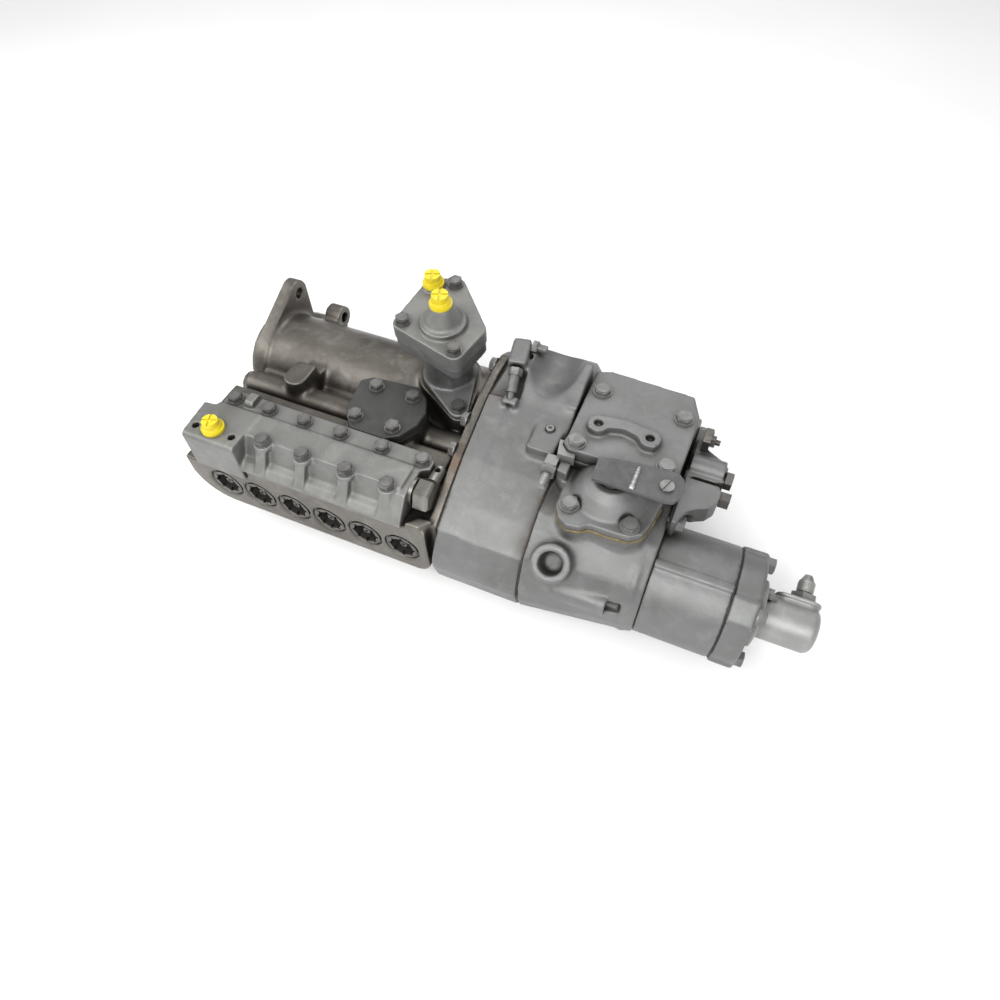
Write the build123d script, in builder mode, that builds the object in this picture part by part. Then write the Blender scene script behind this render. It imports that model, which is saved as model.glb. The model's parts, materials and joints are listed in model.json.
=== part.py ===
from build123d import *
import math
import os

os.makedirs("parts", exist_ok=True)

# ---------------------------------------------------------------------------
# Six-cylinder inline diesel injection pump with mechanical governor.
# Frame: X is the camshaft axis, from the drive flange towards the governor.
# x = 0 is the front end of the drive pilot, 8 mm ahead of the mounting face of
# the drive flange, and +Z is up as the pump lies with its outlet bores facing
# -Y. Millimetres.
# ---------------------------------------------------------------------------

# Pumping elements
N = 6
PITCH = 38.1                      # outlet bore pitch
X1 = 59.0                         # first outlet bore
XS = [X1 + PITCH * i for i in range(N)]
FACE_Y = -175.0                   # outlet face
X_SPLIT1 = 283.0                  # pump housing to governor joint
GASKET = 1.0
X_SPLIT2 = 363.0                  # centre housing to rear housing joint
X_REAR = 464.0                    # end of the rear housing
FLOOR_Z = -58.0                   # lowest surface

# Camshaft
CAM_BASE_R = 15.5
CAM_LIFT = 8.0
CAM_JOURNAL_R = 22.0
CAM_TUNNEL_R = 27.0
LIFTER_R = 13.0
LIFTER_TOP = -26.5                # lifters stand at this height above the axis
CHAMBER = (-84.0, -52.0)          # spring and gear chamber, y range

# Rack
RACK_Y, RACK_Z, RACK_R = -68.0, 21.0, 5.5
GEAR_PR = 13.5                    # pitch radius of the plunger gear sectors
GEAR_M = 1.5

# Outlets
RET_R = 17.0                      # retainer thread radius
RET_HOLE = 11.5
BARREL_R = 12.0
PLUNGER_R = 5.0

# Ratio control
RC_Y, RC_Z, RC_R = -119.0, 3.0, 49.0

# Transfer pump
TP_X, TP_TILT = 221.0, 3.5
TP_BASE_H = 50.0                  # seat of the transfer pump above the camshaft axis
tn = (0.0, -math.sin(math.radians(TP_TILT)), math.cos(math.radians(TP_TILT)))


def tp_plane(h, dx=0.0, dy=0.0):
    # a plane square to the transfer pump axis, h above the camshaft axis
    return Plane(origin=(TP_X + dx, tn[1] * h + dy * tn[2], tn[2] * h - dy * tn[1]), x_dir=(1, 0, 0), z_dir=tn)


def xplane(x, y=0.0, z=0.0):
    # a plane square to X: local x is +Y and local y is +Z
    return Plane(origin=(x, y, z), x_dir=(0, 1, 0), z_dir=(1, 0, 0))


def front(y, x=0.0, z=0.0):
    # a plane facing -Y: local x is +X and local y is +Z
    return Plane(origin=(x, y, z), x_dir=(1, 0, 0), z_dir=(0, -1, 0))


def top(z, x=0.0, y=0.0):
    return Plane(origin=(x, y, z), x_dir=(1, 0, 0), z_dir=(0, 0, 1))


def save(name, builder):
    builder.part.label = name
    export_step(builder.part, f"parts/{name}.step")


# Where the fasteners stand (x, y)
MAN_REAR = [(57.0, -122.0), (94.5, -122.0), (132.0, -122.0), (170.0, -122.0), (212.0, -122.0), (251.5, -121.5)]
MAN_FRONT = [(111.5, -158.0), (152.5, -158.0), (196.0, -158.0), (236.5, -158.0)]
ACCESS = [(168.5, -54.5), (207.0, -54.5), (168.5, -95.0), (207.0, -95.0)]
ACCESS_OUT = [(149, -51), (159, -43), (205, -39), (219, -50), (226.5, -66), (226, -82), (217, -100), (205, -108.5), (170, -108.5), (155, -91)]
TOPC = [(377.0, -18.0), (449.5, -23.0), (449.5, -78.5), (375.0, -80.5)]
TOPC_OUT = [(364.8, 4), (378, 9), (452, 6), (461.5, -16), (461.5, -44), (460.5, -80), (455, -88), (371, -89), (364.8, -83), (366, -72)]
FRONTC = [(387.0, -127.1), (437.7, -128.5)]
FRONTC_OUT = [(367, -89.5), (367, -104), (376, -113), (376.5, -130), (382, -140), (391, -145.5), (401, -144), (407, -139), (430, -139), (440, -138), (449, -132), (452, -122), (456, -96), (455, -89.5)]
TP_COVER = [(-37.0, -9.5), (22.5, -26.5), (-12.5, 53.0)]
JOINT_SCREWS = [(-100.0, 65.0), (-72.5, 75.5), (-9.0, 85.5), (41.4, 48.0)]
SETTING_BOLTS = [(8.0, 55.5), (-95.0, 57.0)]   # y, z on the end of the rear housing
TP_BASE = [(27.5, -40.0), (-27.5, 40.0)]
FLANGE = [(38.2, 59.0), (-55.0, -38.0), (64.0, -7.0)]
FLANGE_X, FLANGE_T, FLANGE_R = 8.0, 14.0, 52.0

# Cross section of the governor housings, (y, z)
GOV_OUT = [(-176, -22), (-181, -4), (-181, 14), (-172, 28), (-166, 36), (-142, 52), (-107, 70), (-51, 92),
           (-23, 109), (0, 111), (14, 100), (44, 60), (48, 40), (48, -44), (38, FLOOR_Z), (-140, FLOOR_Z), (-166, -40)]
GOV_IN = [(-166, -20), (-172, -4), (-172, 10), (-162, 24), (-136, 42), (-104, 58), (-54, 76),
          (-24, 76), (-4, 76), (8, 70), (35, 54), (39, 38), (39, -38), (32, -49), (-138, -49), (-158, -36)]

# ---------------------------------------------------------------------------
# Pump housing: camshaft barrel, outlet block, rack gallery, drive flange
# ---------------------------------------------------------------------------
with BuildPart() as pump_housing:
    # camshaft barrel
    with BuildSketch(xplane(24)):
        Circle(48.8)
    extrude(amount=X_SPLIT1 - 24)
    # narrow neck behind the drive flange
    with BuildSketch(xplane(20)):
        Circle(47)
    extrude(amount=6)
    # foot under the camshaft barrel and the gear chamber
    with BuildSketch(xplane(22)):
        with BuildLine():
            Polyline((-112, 22), (-160, -20), (-160, -34), (-142, -50), (-40, FLOOR_Z + 2), (20, FLOOR_Z), (34, -36), (30, 10), close=True)
        make_face()
    extrude(amount=X_SPLIT1 - 10 - 22)
    # outlet block, with the large corner radius at its free end
    with BuildSketch(front(-86)):
        with BuildLine():
            l1 = Polyline((19.5, 8), (19.5, 37), (276, 37), (276, -15))
            RadiusArc((276, -15), (262, -29), 14)
            Line((262, -29), (56, -29))
            RadiusArc((56, -29), (19.5, 8), 36.5)
        make_face()
    extrude(amount=-FACE_Y - 86)
    # machined rail that carries the manifold at the back
    with BuildSketch(top(36)):
        with Locations((150, -112)):
            RectangleRounded(230, 46, 8)
    extrude(amount=7)
    # rack gallery tube
    with BuildSketch(xplane(24)):
        with Locations((RACK_Y + 1, RACK_Z + 2)):
            Circle(14)
        with Locations((RACK_Y + 8, 3.5)):
            Rectangle(56, 34)
    extrude(amount=X_SPLIT1 - 24)
    with BuildSketch(xplane(18)):
        with Locations((RACK_Y + 1, RACK_Z + 2)):
            Circle(11.5)
    extrude(amount=8)
    # pad of the access cover
    with BuildSketch(top(14)):
        with BuildLine():
            Polyline(*ACCESS_OUT, close=True)
        make_face()
        offset(amount=-0.6)
    extrude(amount=37)
    # machined round boss beside the barrel
    with BuildSketch(top(10)):
        with Locations((80.5, -63.5)):
            Circle(12)
        with Locations((88.5, -47)):
            Circle(4)
        with Locations((73, -47.5)):
            Circle(3)
        make_hull()
    extrude(amount=41)
    with BuildSketch(top(10, 82.5, -45)):
        Rectangle(20, 34)
    extrude(amount=28)
    # drive flange, a disc with three ears, and its pilot
    for p in FLANGE:
        with BuildSketch(xplane(FLANGE_X)):
            Circle(FLANGE_R)
            with Locations(p):
                Circle(14)
            make_hull()
        extrude(amount=FLANGE_T)
    with BuildSketch(xplane(0)):
        Circle(44)
    extrude(amount=FLANGE_X + 1)
    # support lug on the back of the barrel
    with BuildSketch(xplane(42)):
        with Locations((56, 25)):
            Circle(12)
        with Locations((42, 20)):
            Rectangle(32, 22)
    extrude(amount=18)
    # mounting boss of the transfer pump
    with BuildSketch(tp_plane(18)):
        Circle(31)
        for p in TP_BASE:
            with Locations(p):
                Circle(11)
        make_hull()
    extrude(amount=TP_BASE_H - 18)
    # governor joint flange
    with BuildSketch(xplane(X_SPLIT1 - 9)):
        with BuildLine():
            Polyline((-164, 20), (-164, 37), (-142, 50), (-107, 68), (-51, 88), (-23, 93), (0, 92), (14, 84), (44, 58), (48, 40), (48, -44), (38, FLOOR_Z), (-138, FLOOR_Z), (-162, -40), (-166, -24), close=True)
        make_face()
    extrude(amount=9)
    # recess wall beside the manifold end
    with BuildSketch(top(30)):
        with BuildLine():
            Polyline((257, -174), (270, -174), (279, -163), (266, -163), close=True)
        make_face()
    extrude(amount=13)
    # seat of the manifold end block
    with BuildSketch(top(24)):
        with Locations((50, -165)):
            Rectangle(84, 34)
    extrude(amount=30, mode=Mode.SUBTRACT)
    # --- hollow side ---
    # camshaft tunnel and bearing bores
    with BuildSketch(xplane(0)):
        Circle(CAM_TUNNEL_R)
    extrude(amount=X_SPLIT1, mode=Mode.SUBTRACT)
    # hollow of the pilot
    with BuildSketch(xplane(0)):
        Circle(36)
    extrude(amount=3.5, mode=Mode.SUBTRACT)
    # spring and gear chamber
    with BuildSketch(top(-20)):
        with Locations(((XS[0] + XS[5]) / 2, sum(CHAMBER) / 2)):
            RectangleRounded(5 * PITCH + 36, CHAMBER[1] - CHAMBER[0], 6)
    extrude(amount=38, mode=Mode.SUBTRACT)
    # rack bore, open to the governor
    with BuildSketch(xplane(28)):
        with Locations((RACK_Y, RACK_Z)):
            Circle(RACK_R + 0.04)
    extrude(amount=X_SPLIT1, mode=Mode.SUBTRACT)
    for x in XS:
        # lifter guide
        with BuildSketch(front(-20, x)):
            Circle(LIFTER_R + 0.05)
        extrude(amount=34, mode=Mode.SUBTRACT)
        # pump barrel seat
        with BuildSketch(front(-82, x)):
            Circle(BARREL_R)
        extrude(amount=60, mode=Mode.SUBTRACT)
        # fuel annulus round the barrel
        with BuildSketch(front(-112, x)):
            Circle(15)
        extrude(amount=14, mode=Mode.SUBTRACT)
        # retainer thread
        with BuildSketch(front(-136, x)):
            Circle(RET_R - 1.4)
        extrude(amount=40, mode=Mode.SUBTRACT)
        with BuildSketch(front(-158, x)):
            Circle(RET_R)
        extrude(amount=20, mode=Mode.SUBTRACT)
        # shallow groove round each outlet
        with BuildSketch(front(FACE_Y + 1.6, x)):
            Circle(RET_R + 1.3)
        extrude(amount=3, mode=Mode.SUBTRACT)
    # gallery between the fuel annuli
    with BuildSketch(xplane(XS[0] - 8)):
        with Locations((-119, 11)):
            Circle(4)
    extrude(amount=5 * PITCH + 16, mode=Mode.SUBTRACT)
    # fuel feed up to the manifold
    with BuildSketch(top(8)):
        for x in (64.5, 150.0, 236.0):
            with Locations((x, -119 if x > 70 else -135)):
                Circle(4)
    extrude(amount=40, mode=Mode.SUBTRACT)
    # opening under the access cover
    with BuildSketch(top(10)):
        with Locations((188, -75)):
            RectangleRounded(34, 30, 6)
    extrude(amount=50, mode=Mode.SUBTRACT)
    # bore under the transfer pump
    with BuildSketch(tp_plane(10)):
        Circle(13)
    extrude(amount=60, mode=Mode.SUBTRACT)
    # fastener holes
    with BuildSketch(top(26)):
        for p in MAN_REAR + MAN_FRONT:
            with Locations(p):
                Circle(3.4)
    extrude(amount=30, mode=Mode.SUBTRACT)
    with BuildSketch(top(34)):
        for p in ACCESS:
            with Locations(p):
                Circle(3.4)
    extrude(amount=30, mode=Mode.SUBTRACT)
    with BuildSketch(tp_plane(28)):
        for p in TP_BASE:
            with Locations(p):
                Circle(4.0)
    extrude(amount=30, mode=Mode.SUBTRACT)
    with BuildSketch(xplane(FLANGE_X - 1)):
        for p in FLANGE:
            with Locations(p):
                Circle(5.5)
    extrude(amount=FLANGE_T + 2, mode=Mode.SUBTRACT)
    # nut pocket in the foot behind the lower outer ear
    with BuildSketch(xplane(FLANGE_X + FLANGE_T)):
        with Locations(FLANGE[1]):
            Circle(11)
    extrude(amount=22, mode=Mode.SUBTRACT)
    with BuildSketch(xplane(40)):
        with Locations((56, 25)):
            Circle(5.5)
    extrude(amount=24, mode=Mode.SUBTRACT)
    # joint screws towards the governor
    with BuildSketch(xplane(X_SPLIT1 - 14)):
        for p in JOINT_SCREWS:
            with Locations(p):
                Circle(3.4)
    extrude(amount=16, mode=Mode.SUBTRACT)
save("pump_housing", pump_housing)


# ---------------------------------------------------------------------------
# Fasteners
# ---------------------------------------------------------------------------
def bolt_set(name, places, af=12.0, head=4.6, shank=3.3, length=30.0, washer=7.4, wash_t=1.2, dish=False):
    # identical hex head bolts with washers; each place is a plane on the seat
    # a place may be a pair of the plane and its own shank length
    with BuildPart() as bolts:
        for place in places:
            pl, shank_len = place if isinstance(place, tuple) else (place, length)
            with BuildSketch(pl):
                Circle(washer)
            extrude(amount=wash_t)
            with BuildSketch(pl.offset(wash_t)):
                RegularPolygon(af / 2, 6, major_radius=False)
            extrude(amount=head)
            with BuildSketch(pl.offset(wash_t + head)):
                Circle(af / 2 - 0.9)
            extrude(amount=0.5)
            if dish:
                with BuildSketch(pl.offset(wash_t + head - 0.4)):
                    Circle(af / 2 - 2.2)
                extrude(amount=1.0, mode=Mode.SUBTRACT)
            with BuildSketch(pl):
                Circle(shank)
            extrude(amount=-shank_len)
    save(name, bolts)


def coil(radius, wire, pitch, height):
    # a compression spring standing along its own Z
    with BuildPart() as c:
        with BuildLine():
            h = Helix(pitch=pitch, height=height, radius=radius)
        with BuildSketch(Plane(origin=h @ 0, z_dir=h % 0)):
            Circle(wire / 2)
        sweep()
    return c.part


# ---------------------------------------------------------------------------
# Fuel manifold
# ---------------------------------------------------------------------------
MAN_TOP, MAN_SEAT, RAIL_TOP = 66.0, 37.0, 43.0
with BuildPart() as manifold_gasket:
    with BuildSketch(top(RAIL_TOP)):
        with Locations((154.5, -122)):
            RectangleRounded(217, 22, 5)
        for p in MAN_REAR:
            with Locations(p):
                Circle(3.6, mode=Mode.SUBTRACT)
    extrude(amount=GASKET)
save("manifold_gasket", manifold_gasket)

with BuildPart() as fuel_manifold:
    # rear flange strip
    with BuildSketch(top(RAIL_TOP + GASKET)):
        with BuildLine():
            Polyline((47, -136), (47, -118), (52, -111.5), (254, -111.5), (261.5, -118), (261.5, -127), (253, -132), (247, -136), close=True)
        make_face()
    extrude(amount=20)
    # main gallery bar
    with BuildSketch(xplane(88)):
        with BuildLine():
            Polyline((-130, 44), (-130, MAN_TOP), (-156, MAN_TOP), (-164.5, 47.5), (-171, 45), (-177, 39.5), (-177, MAN_SEAT), (-135.5, MAN_SEAT), (-135.5, 44), close=True)
        make_face()
    extrude(amount=160)
    # ribs that carry the front screws
    for x, y in MAN_FRONT:
        with BuildSketch(xplane(x - 5.2)):
            with BuildLine():
                Polyline((-150, 40), (-150, MAN_TOP), (-163, MAN_TOP), (-171, 50), (-177, 42), (-177, MAN_SEAT), close=True)
            make_face()
        extrude(amount=10.4)
        with BuildSketch(top(MAN_TOP - 5, x, y)):
            Circle(8.6)
        extrude(amount=5)
    # right end wall
    with BuildSketch(xplane(243)):
        with BuildLine():
            Polyline((-132, 44), (-132, 63), (-160, 63), (-173, 46), (-177, 40), (-177, MAN_SEAT), (-135.5, MAN_SEAT), (-135.5, 44), close=True)
        make_face()
    extrude(amount=11)
    # inlet end block
    with BuildSketch(top(24)):
        with BuildLine():
            Polyline((36.5, -177.5), (33, -148.5), (90, -148.5), (91, -177.5), close=True)
        make_face()
    extrude(amount=14)
    with BuildSketch(top(MAN_SEAT)):
        with BuildLine():
            Polyline((36.5, -177.5), (33, -137), (44, -135.8), (91, -135.8), (91, -177.5), close=True)
        make_face()
    extrude(amount=MAN_TOP + 1 - MAN_SEAT)
    with BuildSketch(top(RAIL_TOP + GASKET)):
        with BuildLine():
            Polyline((44, -138), (47, -131), (91, -131), (91, -138), close=True)
        make_face()
    extrude(amount=MAN_TOP + 1 - RAIL_TOP - GASKET)
    # raised spigot between the first two rear screws
    with BuildSketch(xplane(70)):
        with Locations((0, 0)):
            with BuildLine():
                Polyline((-111.5, 62), (-111.5, 68), (-114, 71), (-124, 71), (-127, 68), (-127, 62), close=True)
            make_face()
    extrude(amount=9)
    fe = [e for e in fuel_manifold.edges().filter_by(Axis.X) if abs(e.center().Y + 177.5) < 0.6 and e.center().Z > 60]
    if fe:
        fillet(fe, 5)
    # gallery, ports and screw holes
    with BuildSketch(xplane(60)):
        with Locations((-146, 53)):
            Circle(7.5)
    extrude(amount=200, mode=Mode.SUBTRACT)
    with BuildSketch(top(36)):
        for x in (64.5, 150.0, 236.0):
            with Locations((x, -145 if x > 70 else -150)):
                Circle(3.5)
    extrude(amount=14, mode=Mode.SUBTRACT)
    with BuildSketch(top(44)):
        with Locations((61.8, -162)):
            Circle(7.0)
        with Locations((43.5, -164), (82.3, -164)):
            Circle(3.3)
    extrude(amount=30, mode=Mode.SUBTRACT)
    with BuildSketch(top(20)):
        for p in MAN_REAR + MAN_FRONT:
            with Locations(p):
                Circle(3.4)
    extrude(amount=60, mode=Mode.SUBTRACT)
save("fuel_manifold", fuel_manifold)


# return fitting in the free end of the manifold
with BuildPart() as manifold_fitting:
    with BuildSketch(xplane(240, -146, 53)):
        Circle(7.4)
    extrude(amount=14)
    with BuildSketch(xplane(254, -146, 53)):
        Circle(12.5)
    extrude(amount=3)
    with BuildSketch(xplane(257, -146, 53)):
        Circle(9.5)
    extrude(amount=2.5)
    with BuildSketch(xplane(259.5, -146, 53)):
        RegularPolygon(13.0, 6, major_radius=False, rotation=12)
    extrude(amount=13.5)
    chamfer(manifold_fitting.faces().sort_by(Axis.X)[-1].edges(), 1.6)
    with BuildSketch(Plane(origin=(267.5, -136, 58), x_dir=(1, 0, 0), z_dir=(0, 1, 0))):
        Circle(5.5)
    extrude(amount=16)
    with BuildSketch(top(58, 267.5, -125)):
        Circle(2.6)
    extrude(amount=10, mode=Mode.SUBTRACT)
    with BuildSketch(xplane(236, -146, 53)):
        Circle(3.5)
    extrude(amount=32, mode=Mode.SUBTRACT)
save("manifold_fitting", manifold_fitting)

# ---------------------------------------------------------------------------
# Access cover
# ---------------------------------------------------------------------------
with BuildPart() as access_cover:
    with BuildSketch(top(51)):
        with BuildLine():
            Polyline(*ACCESS_OUT, close=True)
        make_face()
        for p in ACCESS:
            with Locations(p):
                Circle(3.4, mode=Mode.SUBTRACT)
    extrude(amount=9)
    chamfer(access_cover.faces().sort_by(Axis.Z)[-1].edges().filter_by(GeomType.LINE), 0.9)
save("access_cover", access_cover)

# ---------------------------------------------------------------------------
# Outlets: retainers, valve holders, delivery valves, barrels
# ---------------------------------------------------------------------------
with BuildPart() as outlet_retainers:
    for x in XS:
        with BuildSketch(front(-158, x)):
            Circle(RET_R)
            Circle(RET_HOLE, mode=Mode.SUBTRACT)
        extrude(amount=14.5)
        with BuildSketch(front(-172.5, x)):
            Circle(RET_R - 1.6)
            Circle(RET_HOLE, mode=Mode.SUBTRACT)
        extrude(amount=1.6)
        # spanner slots
        with BuildSketch(front(-170.6, x)):
            with PolarLocations(RET_HOLE, 8):
                Rectangle(3.4, 2.6)
        extrude(amount=5, mode=Mode.SUBTRACT)
save("outlet_retainers", outlet_retainers)

with BuildPart() as valve_holders:
    for x in XS:
        with BuildSketch(front(-142, x)):
            Circle(RET_R - 1.6)
        extrude(amount=16)
        with BuildSketch(front(-158, x)):
            Circle(RET_HOLE - 0.3)
        extrude(amount=5)
        with BuildSketch(front(-163, x)):
            with PolarLocations(8.6, 10):
                Rectangle(3.6, 2.6)
        extrude(amount=3.4)
        with BuildSketch(front(-163, x)):
            Circle(5.2)
        extrude(amount=2)
        with BuildSketch(front(-165, x)):
            Circle(3.6)
        extrude(amount=6)
        with BuildSketch(front(-142, x)):
            Circle(5.5)
        extrude(amount=14, mode=Mode.SUBTRACT)
        with BuildSketch(front(-150, x)):
            Circle(1.5)
        extrude(amount=25, mode=Mode.SUBTRACT)
save("valve_holders", valve_holders)

with BuildPart() as pump_barrels:
    for x in XS:
        with BuildSketch(front(-84, x)):
            Circle(BARREL_R)
        extrude(amount=52)
        with BuildSketch(front(-136, x)):
            Circle(RET_R - 1.6)
        extrude(amount=6)
        with BuildSketch(front(-80, x)):
            Circle(PLUNGER_R + 0.03)
        extrude(amount=58, mode=Mode.SUBTRACT)
        with BuildSketch(front(-130, x)):
            Circle(2)
        extrude(amount=20, mode=Mode.SUBTRACT)
        # spill and fill port
        with BuildSketch(xplane(x, -119, 0)):
            Circle(1.6)
        extrude(amount=16, mode=Mode.SUBTRACT)
save("pump_barrels", pump_barrels)

with BuildPart() as delivery_valves:
    for x in XS:
        with BuildSketch(front(-142, x)):
            Circle(5.0)
        extrude(amount=4)
        with BuildSketch(front(-146, x)):
            Circle(2.2)
        extrude(amount=3)
save("delivery_valves", delivery_valves)

spring_dv = coil(3.7, 1.0, 1.9, 7.4)
with BuildPart() as delivery_valve_springs:
    with Locations(*[Location((x, -147.2, 0), (90, 0, 0)) for x in XS]):
        add(spring_dv)
save("delivery_valve_springs", delivery_valve_springs)

# ---------------------------------------------------------------------------
# Plungers with their gear sectors, lifters and lifter springs
# ---------------------------------------------------------------------------
GEAR_Y0, GEAR_Y1 = -72.0, -64.0
TEETH = 18


def tooth(r0, r1, w0, w1):
    return [(-w0 / 2, r0), (-w1 / 2, r1), (w1 / 2, r1), (w0 / 2, r0)]


for i, x in enumerate(XS):
    with BuildPart() as plunger:
        with BuildSketch(front(-44, x)):
            Circle(7)
        extrude(amount=2.5)
        with BuildSketch(front(-46.5, x)):
            Circle(PLUNGER_R - 0.6)
        extrude(amount=39.5)
        with BuildSketch(front(-86, x)):
            Circle(PLUNGER_R)
        extrude(amount=44)
        with BuildSketch(front(GEAR_Y1, x)):
            Circle(GEAR_PR - 1.6)
        extrude(amount=8)
        with BuildSketch(front(GEAR_Y1, x)):
            with Locations(*[Location((0, 0, 0), (0, 0, 360 / TEETH * k)) for k in range(-6, 7)]):
                with BuildLine():
                    Polyline(*tooth(GEAR_PR - 2.2, GEAR_PR + 0.8, 2.5, 1.2), close=True)
                make_face()
        extrude(amount=8)
        # scroll edge and relief slot at the working end
        with BuildSketch(front(-112, x)):
            with Locations((0, -PLUNGER_R)):
                Rectangle(2.0, 2.4)
        extrude(amount=20, mode=Mode.SUBTRACT)
        with BuildSketch(front(-108, x)):
            Circle(PLUNGER_R + 1)
            Circle(PLUNGER_R - 0.8, mode=Mode.SUBTRACT)
        extrude(amount=4, mode=Mode.SUBTRACT)
    save(f"plunger_{i + 1}", plunger)

with BuildPart() as valve_lifters:
    for x in XS:
        with BuildSketch(front(LIFTER_TOP, x)):
            Circle(LIFTER_R)
        extrude(amount=17.2)
        with BuildSketch(front(-34, x)):
            Circle(9.5)
        extrude(amount=12, mode=Mode.SUBTRACT)
        with BuildSketch(front(-34, x)):
            Circle(6.5)
        extrude(amount=9.7)
save("cam_lifters", valve_lifters)

spring_l = coil(10.4, 2.0, 4.2, 14.0)
with BuildPart() as lifter_springs:
    with Locations(*[Location((x, -47.8, 0), (90, 0, 0)) for x in XS]):
        add(spring_l)
save("lifter_springs", lifter_springs)

# ---------------------------------------------------------------------------
# Control rack
# ---------------------------------------------------------------------------
with BuildPart() as control_rack:
    with BuildSketch(xplane(34, RACK_Y, RACK_Z)):
        Circle(RACK_R)
    extrude(amount=296)
    for x in XS:
        with BuildSketch(top(15.4, x, RACK_Y)):
            Rectangle(22, 6)
        extrude(amount=3)
        with BuildSketch(front(RACK_Y + 3, x)):
            for k in range(-2, 3):
                xc = k * math.pi * GEAR_M + math.pi * GEAR_M / 2
                if abs(xc) < 11:
                    with BuildLine():
                        Polyline((xc - 1.35, 15.6), (xc - 0.45, 12.7), (xc + 0.45, 12.7), (xc + 1.35, 15.6), close=True)
                    make_face()
        extrude(amount=6)
    # flats and cross hole where the governor link holds it
    with BuildSketch(top(0, 322, RACK_Y)):
        Circle(2.5)
    extrude(amount=40, mode=Mode.SUBTRACT)
save("control_rack", control_rack)

# ---------------------------------------------------------------------------
# Camshaft, bushings and seal
# ---------------------------------------------------------------------------
CAM_ANGLE = {0: 0, 4: 60, 2: 120, 5: 180, 1: 240, 3: 300}
with BuildPart() as camshaft:
    with BuildSketch(xplane(10)):
        Circle(CAM_JOURNAL_R)
    extrude(amount=20)
    with BuildSketch(xplane(30)):
        Circle(14)
    extrude(amount=235)
    with BuildSketch(xplane(263)):
        Circle(CAM_JOURNAL_R)
    extrude(amount=17)
    with BuildSketch(xplane(280)):
        Circle(11)
    extrude(amount=30)
    with BuildSketch(xplane(-6)):
        Circle(16)
    extrude(amount=17)
    for i, x in enumerate(XS):
        with BuildSketch(xplane(x - 6)):
            Circle(CAM_BASE_R)
            a = math.radians(CAM_ANGLE[i] + 10)
            with Locations((17.5 * math.cos(a), 17.5 * math.sin(a))):
                Circle(6)
            make_hull()
        extrude(amount=12)
    # eccentric of the transfer pump
    with BuildSketch(xplane(218)):
        with Locations((0, -4)):
            Circle(15.5)
    extrude(amount=14)
    # threaded puller hole and drive slot
    with BuildSketch(xplane(-6)):
        Circle(6)
        with Locations((0, 12)):
            Rectangle(6, 9)
    extrude(amount=12, mode=Mode.SUBTRACT)
save("camshaft", camshaft)

with BuildPart() as camshaft_bushings:
    for x0, w in ((10.0, 18.0), (263.5, 16.0)):
        with BuildSketch(xplane(x0)):
            Circle(CAM_TUNNEL_R)
            Circle(CAM_JOURNAL_R + 0.04, mode=Mode.SUBTRACT)
        extrude(amount=w)
save("camshaft_bushings", camshaft_bushings)

with BuildPart() as drive_seal:
    with BuildSketch(xplane(3.6)):
        Circle(CAM_TUNNEL_R)
        Circle(16.04, mode=Mode.SUBTRACT)
    extrude(amount=5.5)
save("drive_seal", drive_seal)


# ---------------------------------------------------------------------------
# Fuel transfer pump
# ---------------------------------------------------------------------------
TP_PLATE_H, TP_TOP_H = 100.0, 115.0


def tp_outline(grow):
    for p in TP_COVER:
        with Locations(p):
            Circle(9.5 + grow)
    with Locations((29, 6)):
        Circle(9.5 + grow)
    with Locations((-31, 45)):
        Circle(11 + grow)
    make_hull()


with BuildPart() as transfer_pump_body:
    with BuildSketch(tp_plane(TP_BASE_H)):
        Circle(27)
        for p in TP_BASE:
            with Locations(p):
                Circle(10)
        make_hull()
    extrude(amount=5)
    with BuildSketch(tp_plane(TP_BASE_H)):
        Circle(24.5)
    extrude(amount=TP_PLATE_H - TP_BASE_H)
    # webs up to the cover flange
    with BuildSketch(tp_plane(TP_BASE_H + 5)):
        with BuildLine():
            Polyline((-22, -10), (12, -23), (24, -8), (22, 14), (-10, 32), (-26, 18), close=True)
        make_face()
    extrude(amount=TP_PLATE_H - TP_BASE_H - 5)
    with BuildSketch(tp_plane(TP_PLATE_H - 12)):
        tp_outline(-1.0)
    extrude(amount=12)
    # piston bore, inlet side passage and screw holes
    with BuildSketch(tp_plane(73)):
        Circle(15)
    extrude(amount=60, mode=Mode.SUBTRACT)
    with BuildSketch(tp_plane(TP_BASE_H - 2)):
        Circle(3.46)
    extrude(amount=30, mode=Mode.SUBTRACT)
    with BuildSketch(tp_plane(TP_PLATE_H - 14)):
        for p in TP_COVER:
            with Locations(p):
                Circle(3.4)
        with Locations((-31, 43.5)):
            Circle(5)
    extrude(amount=20, mode=Mode.SUBTRACT)
    with BuildSketch(tp_plane(TP_BASE_H - 2)):
        for p in TP_BASE:
            with Locations(p):
                Circle(4.0)
    extrude(amount=20, mode=Mode.SUBTRACT)
save("transfer_pump_body", transfer_pump_body)

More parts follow.
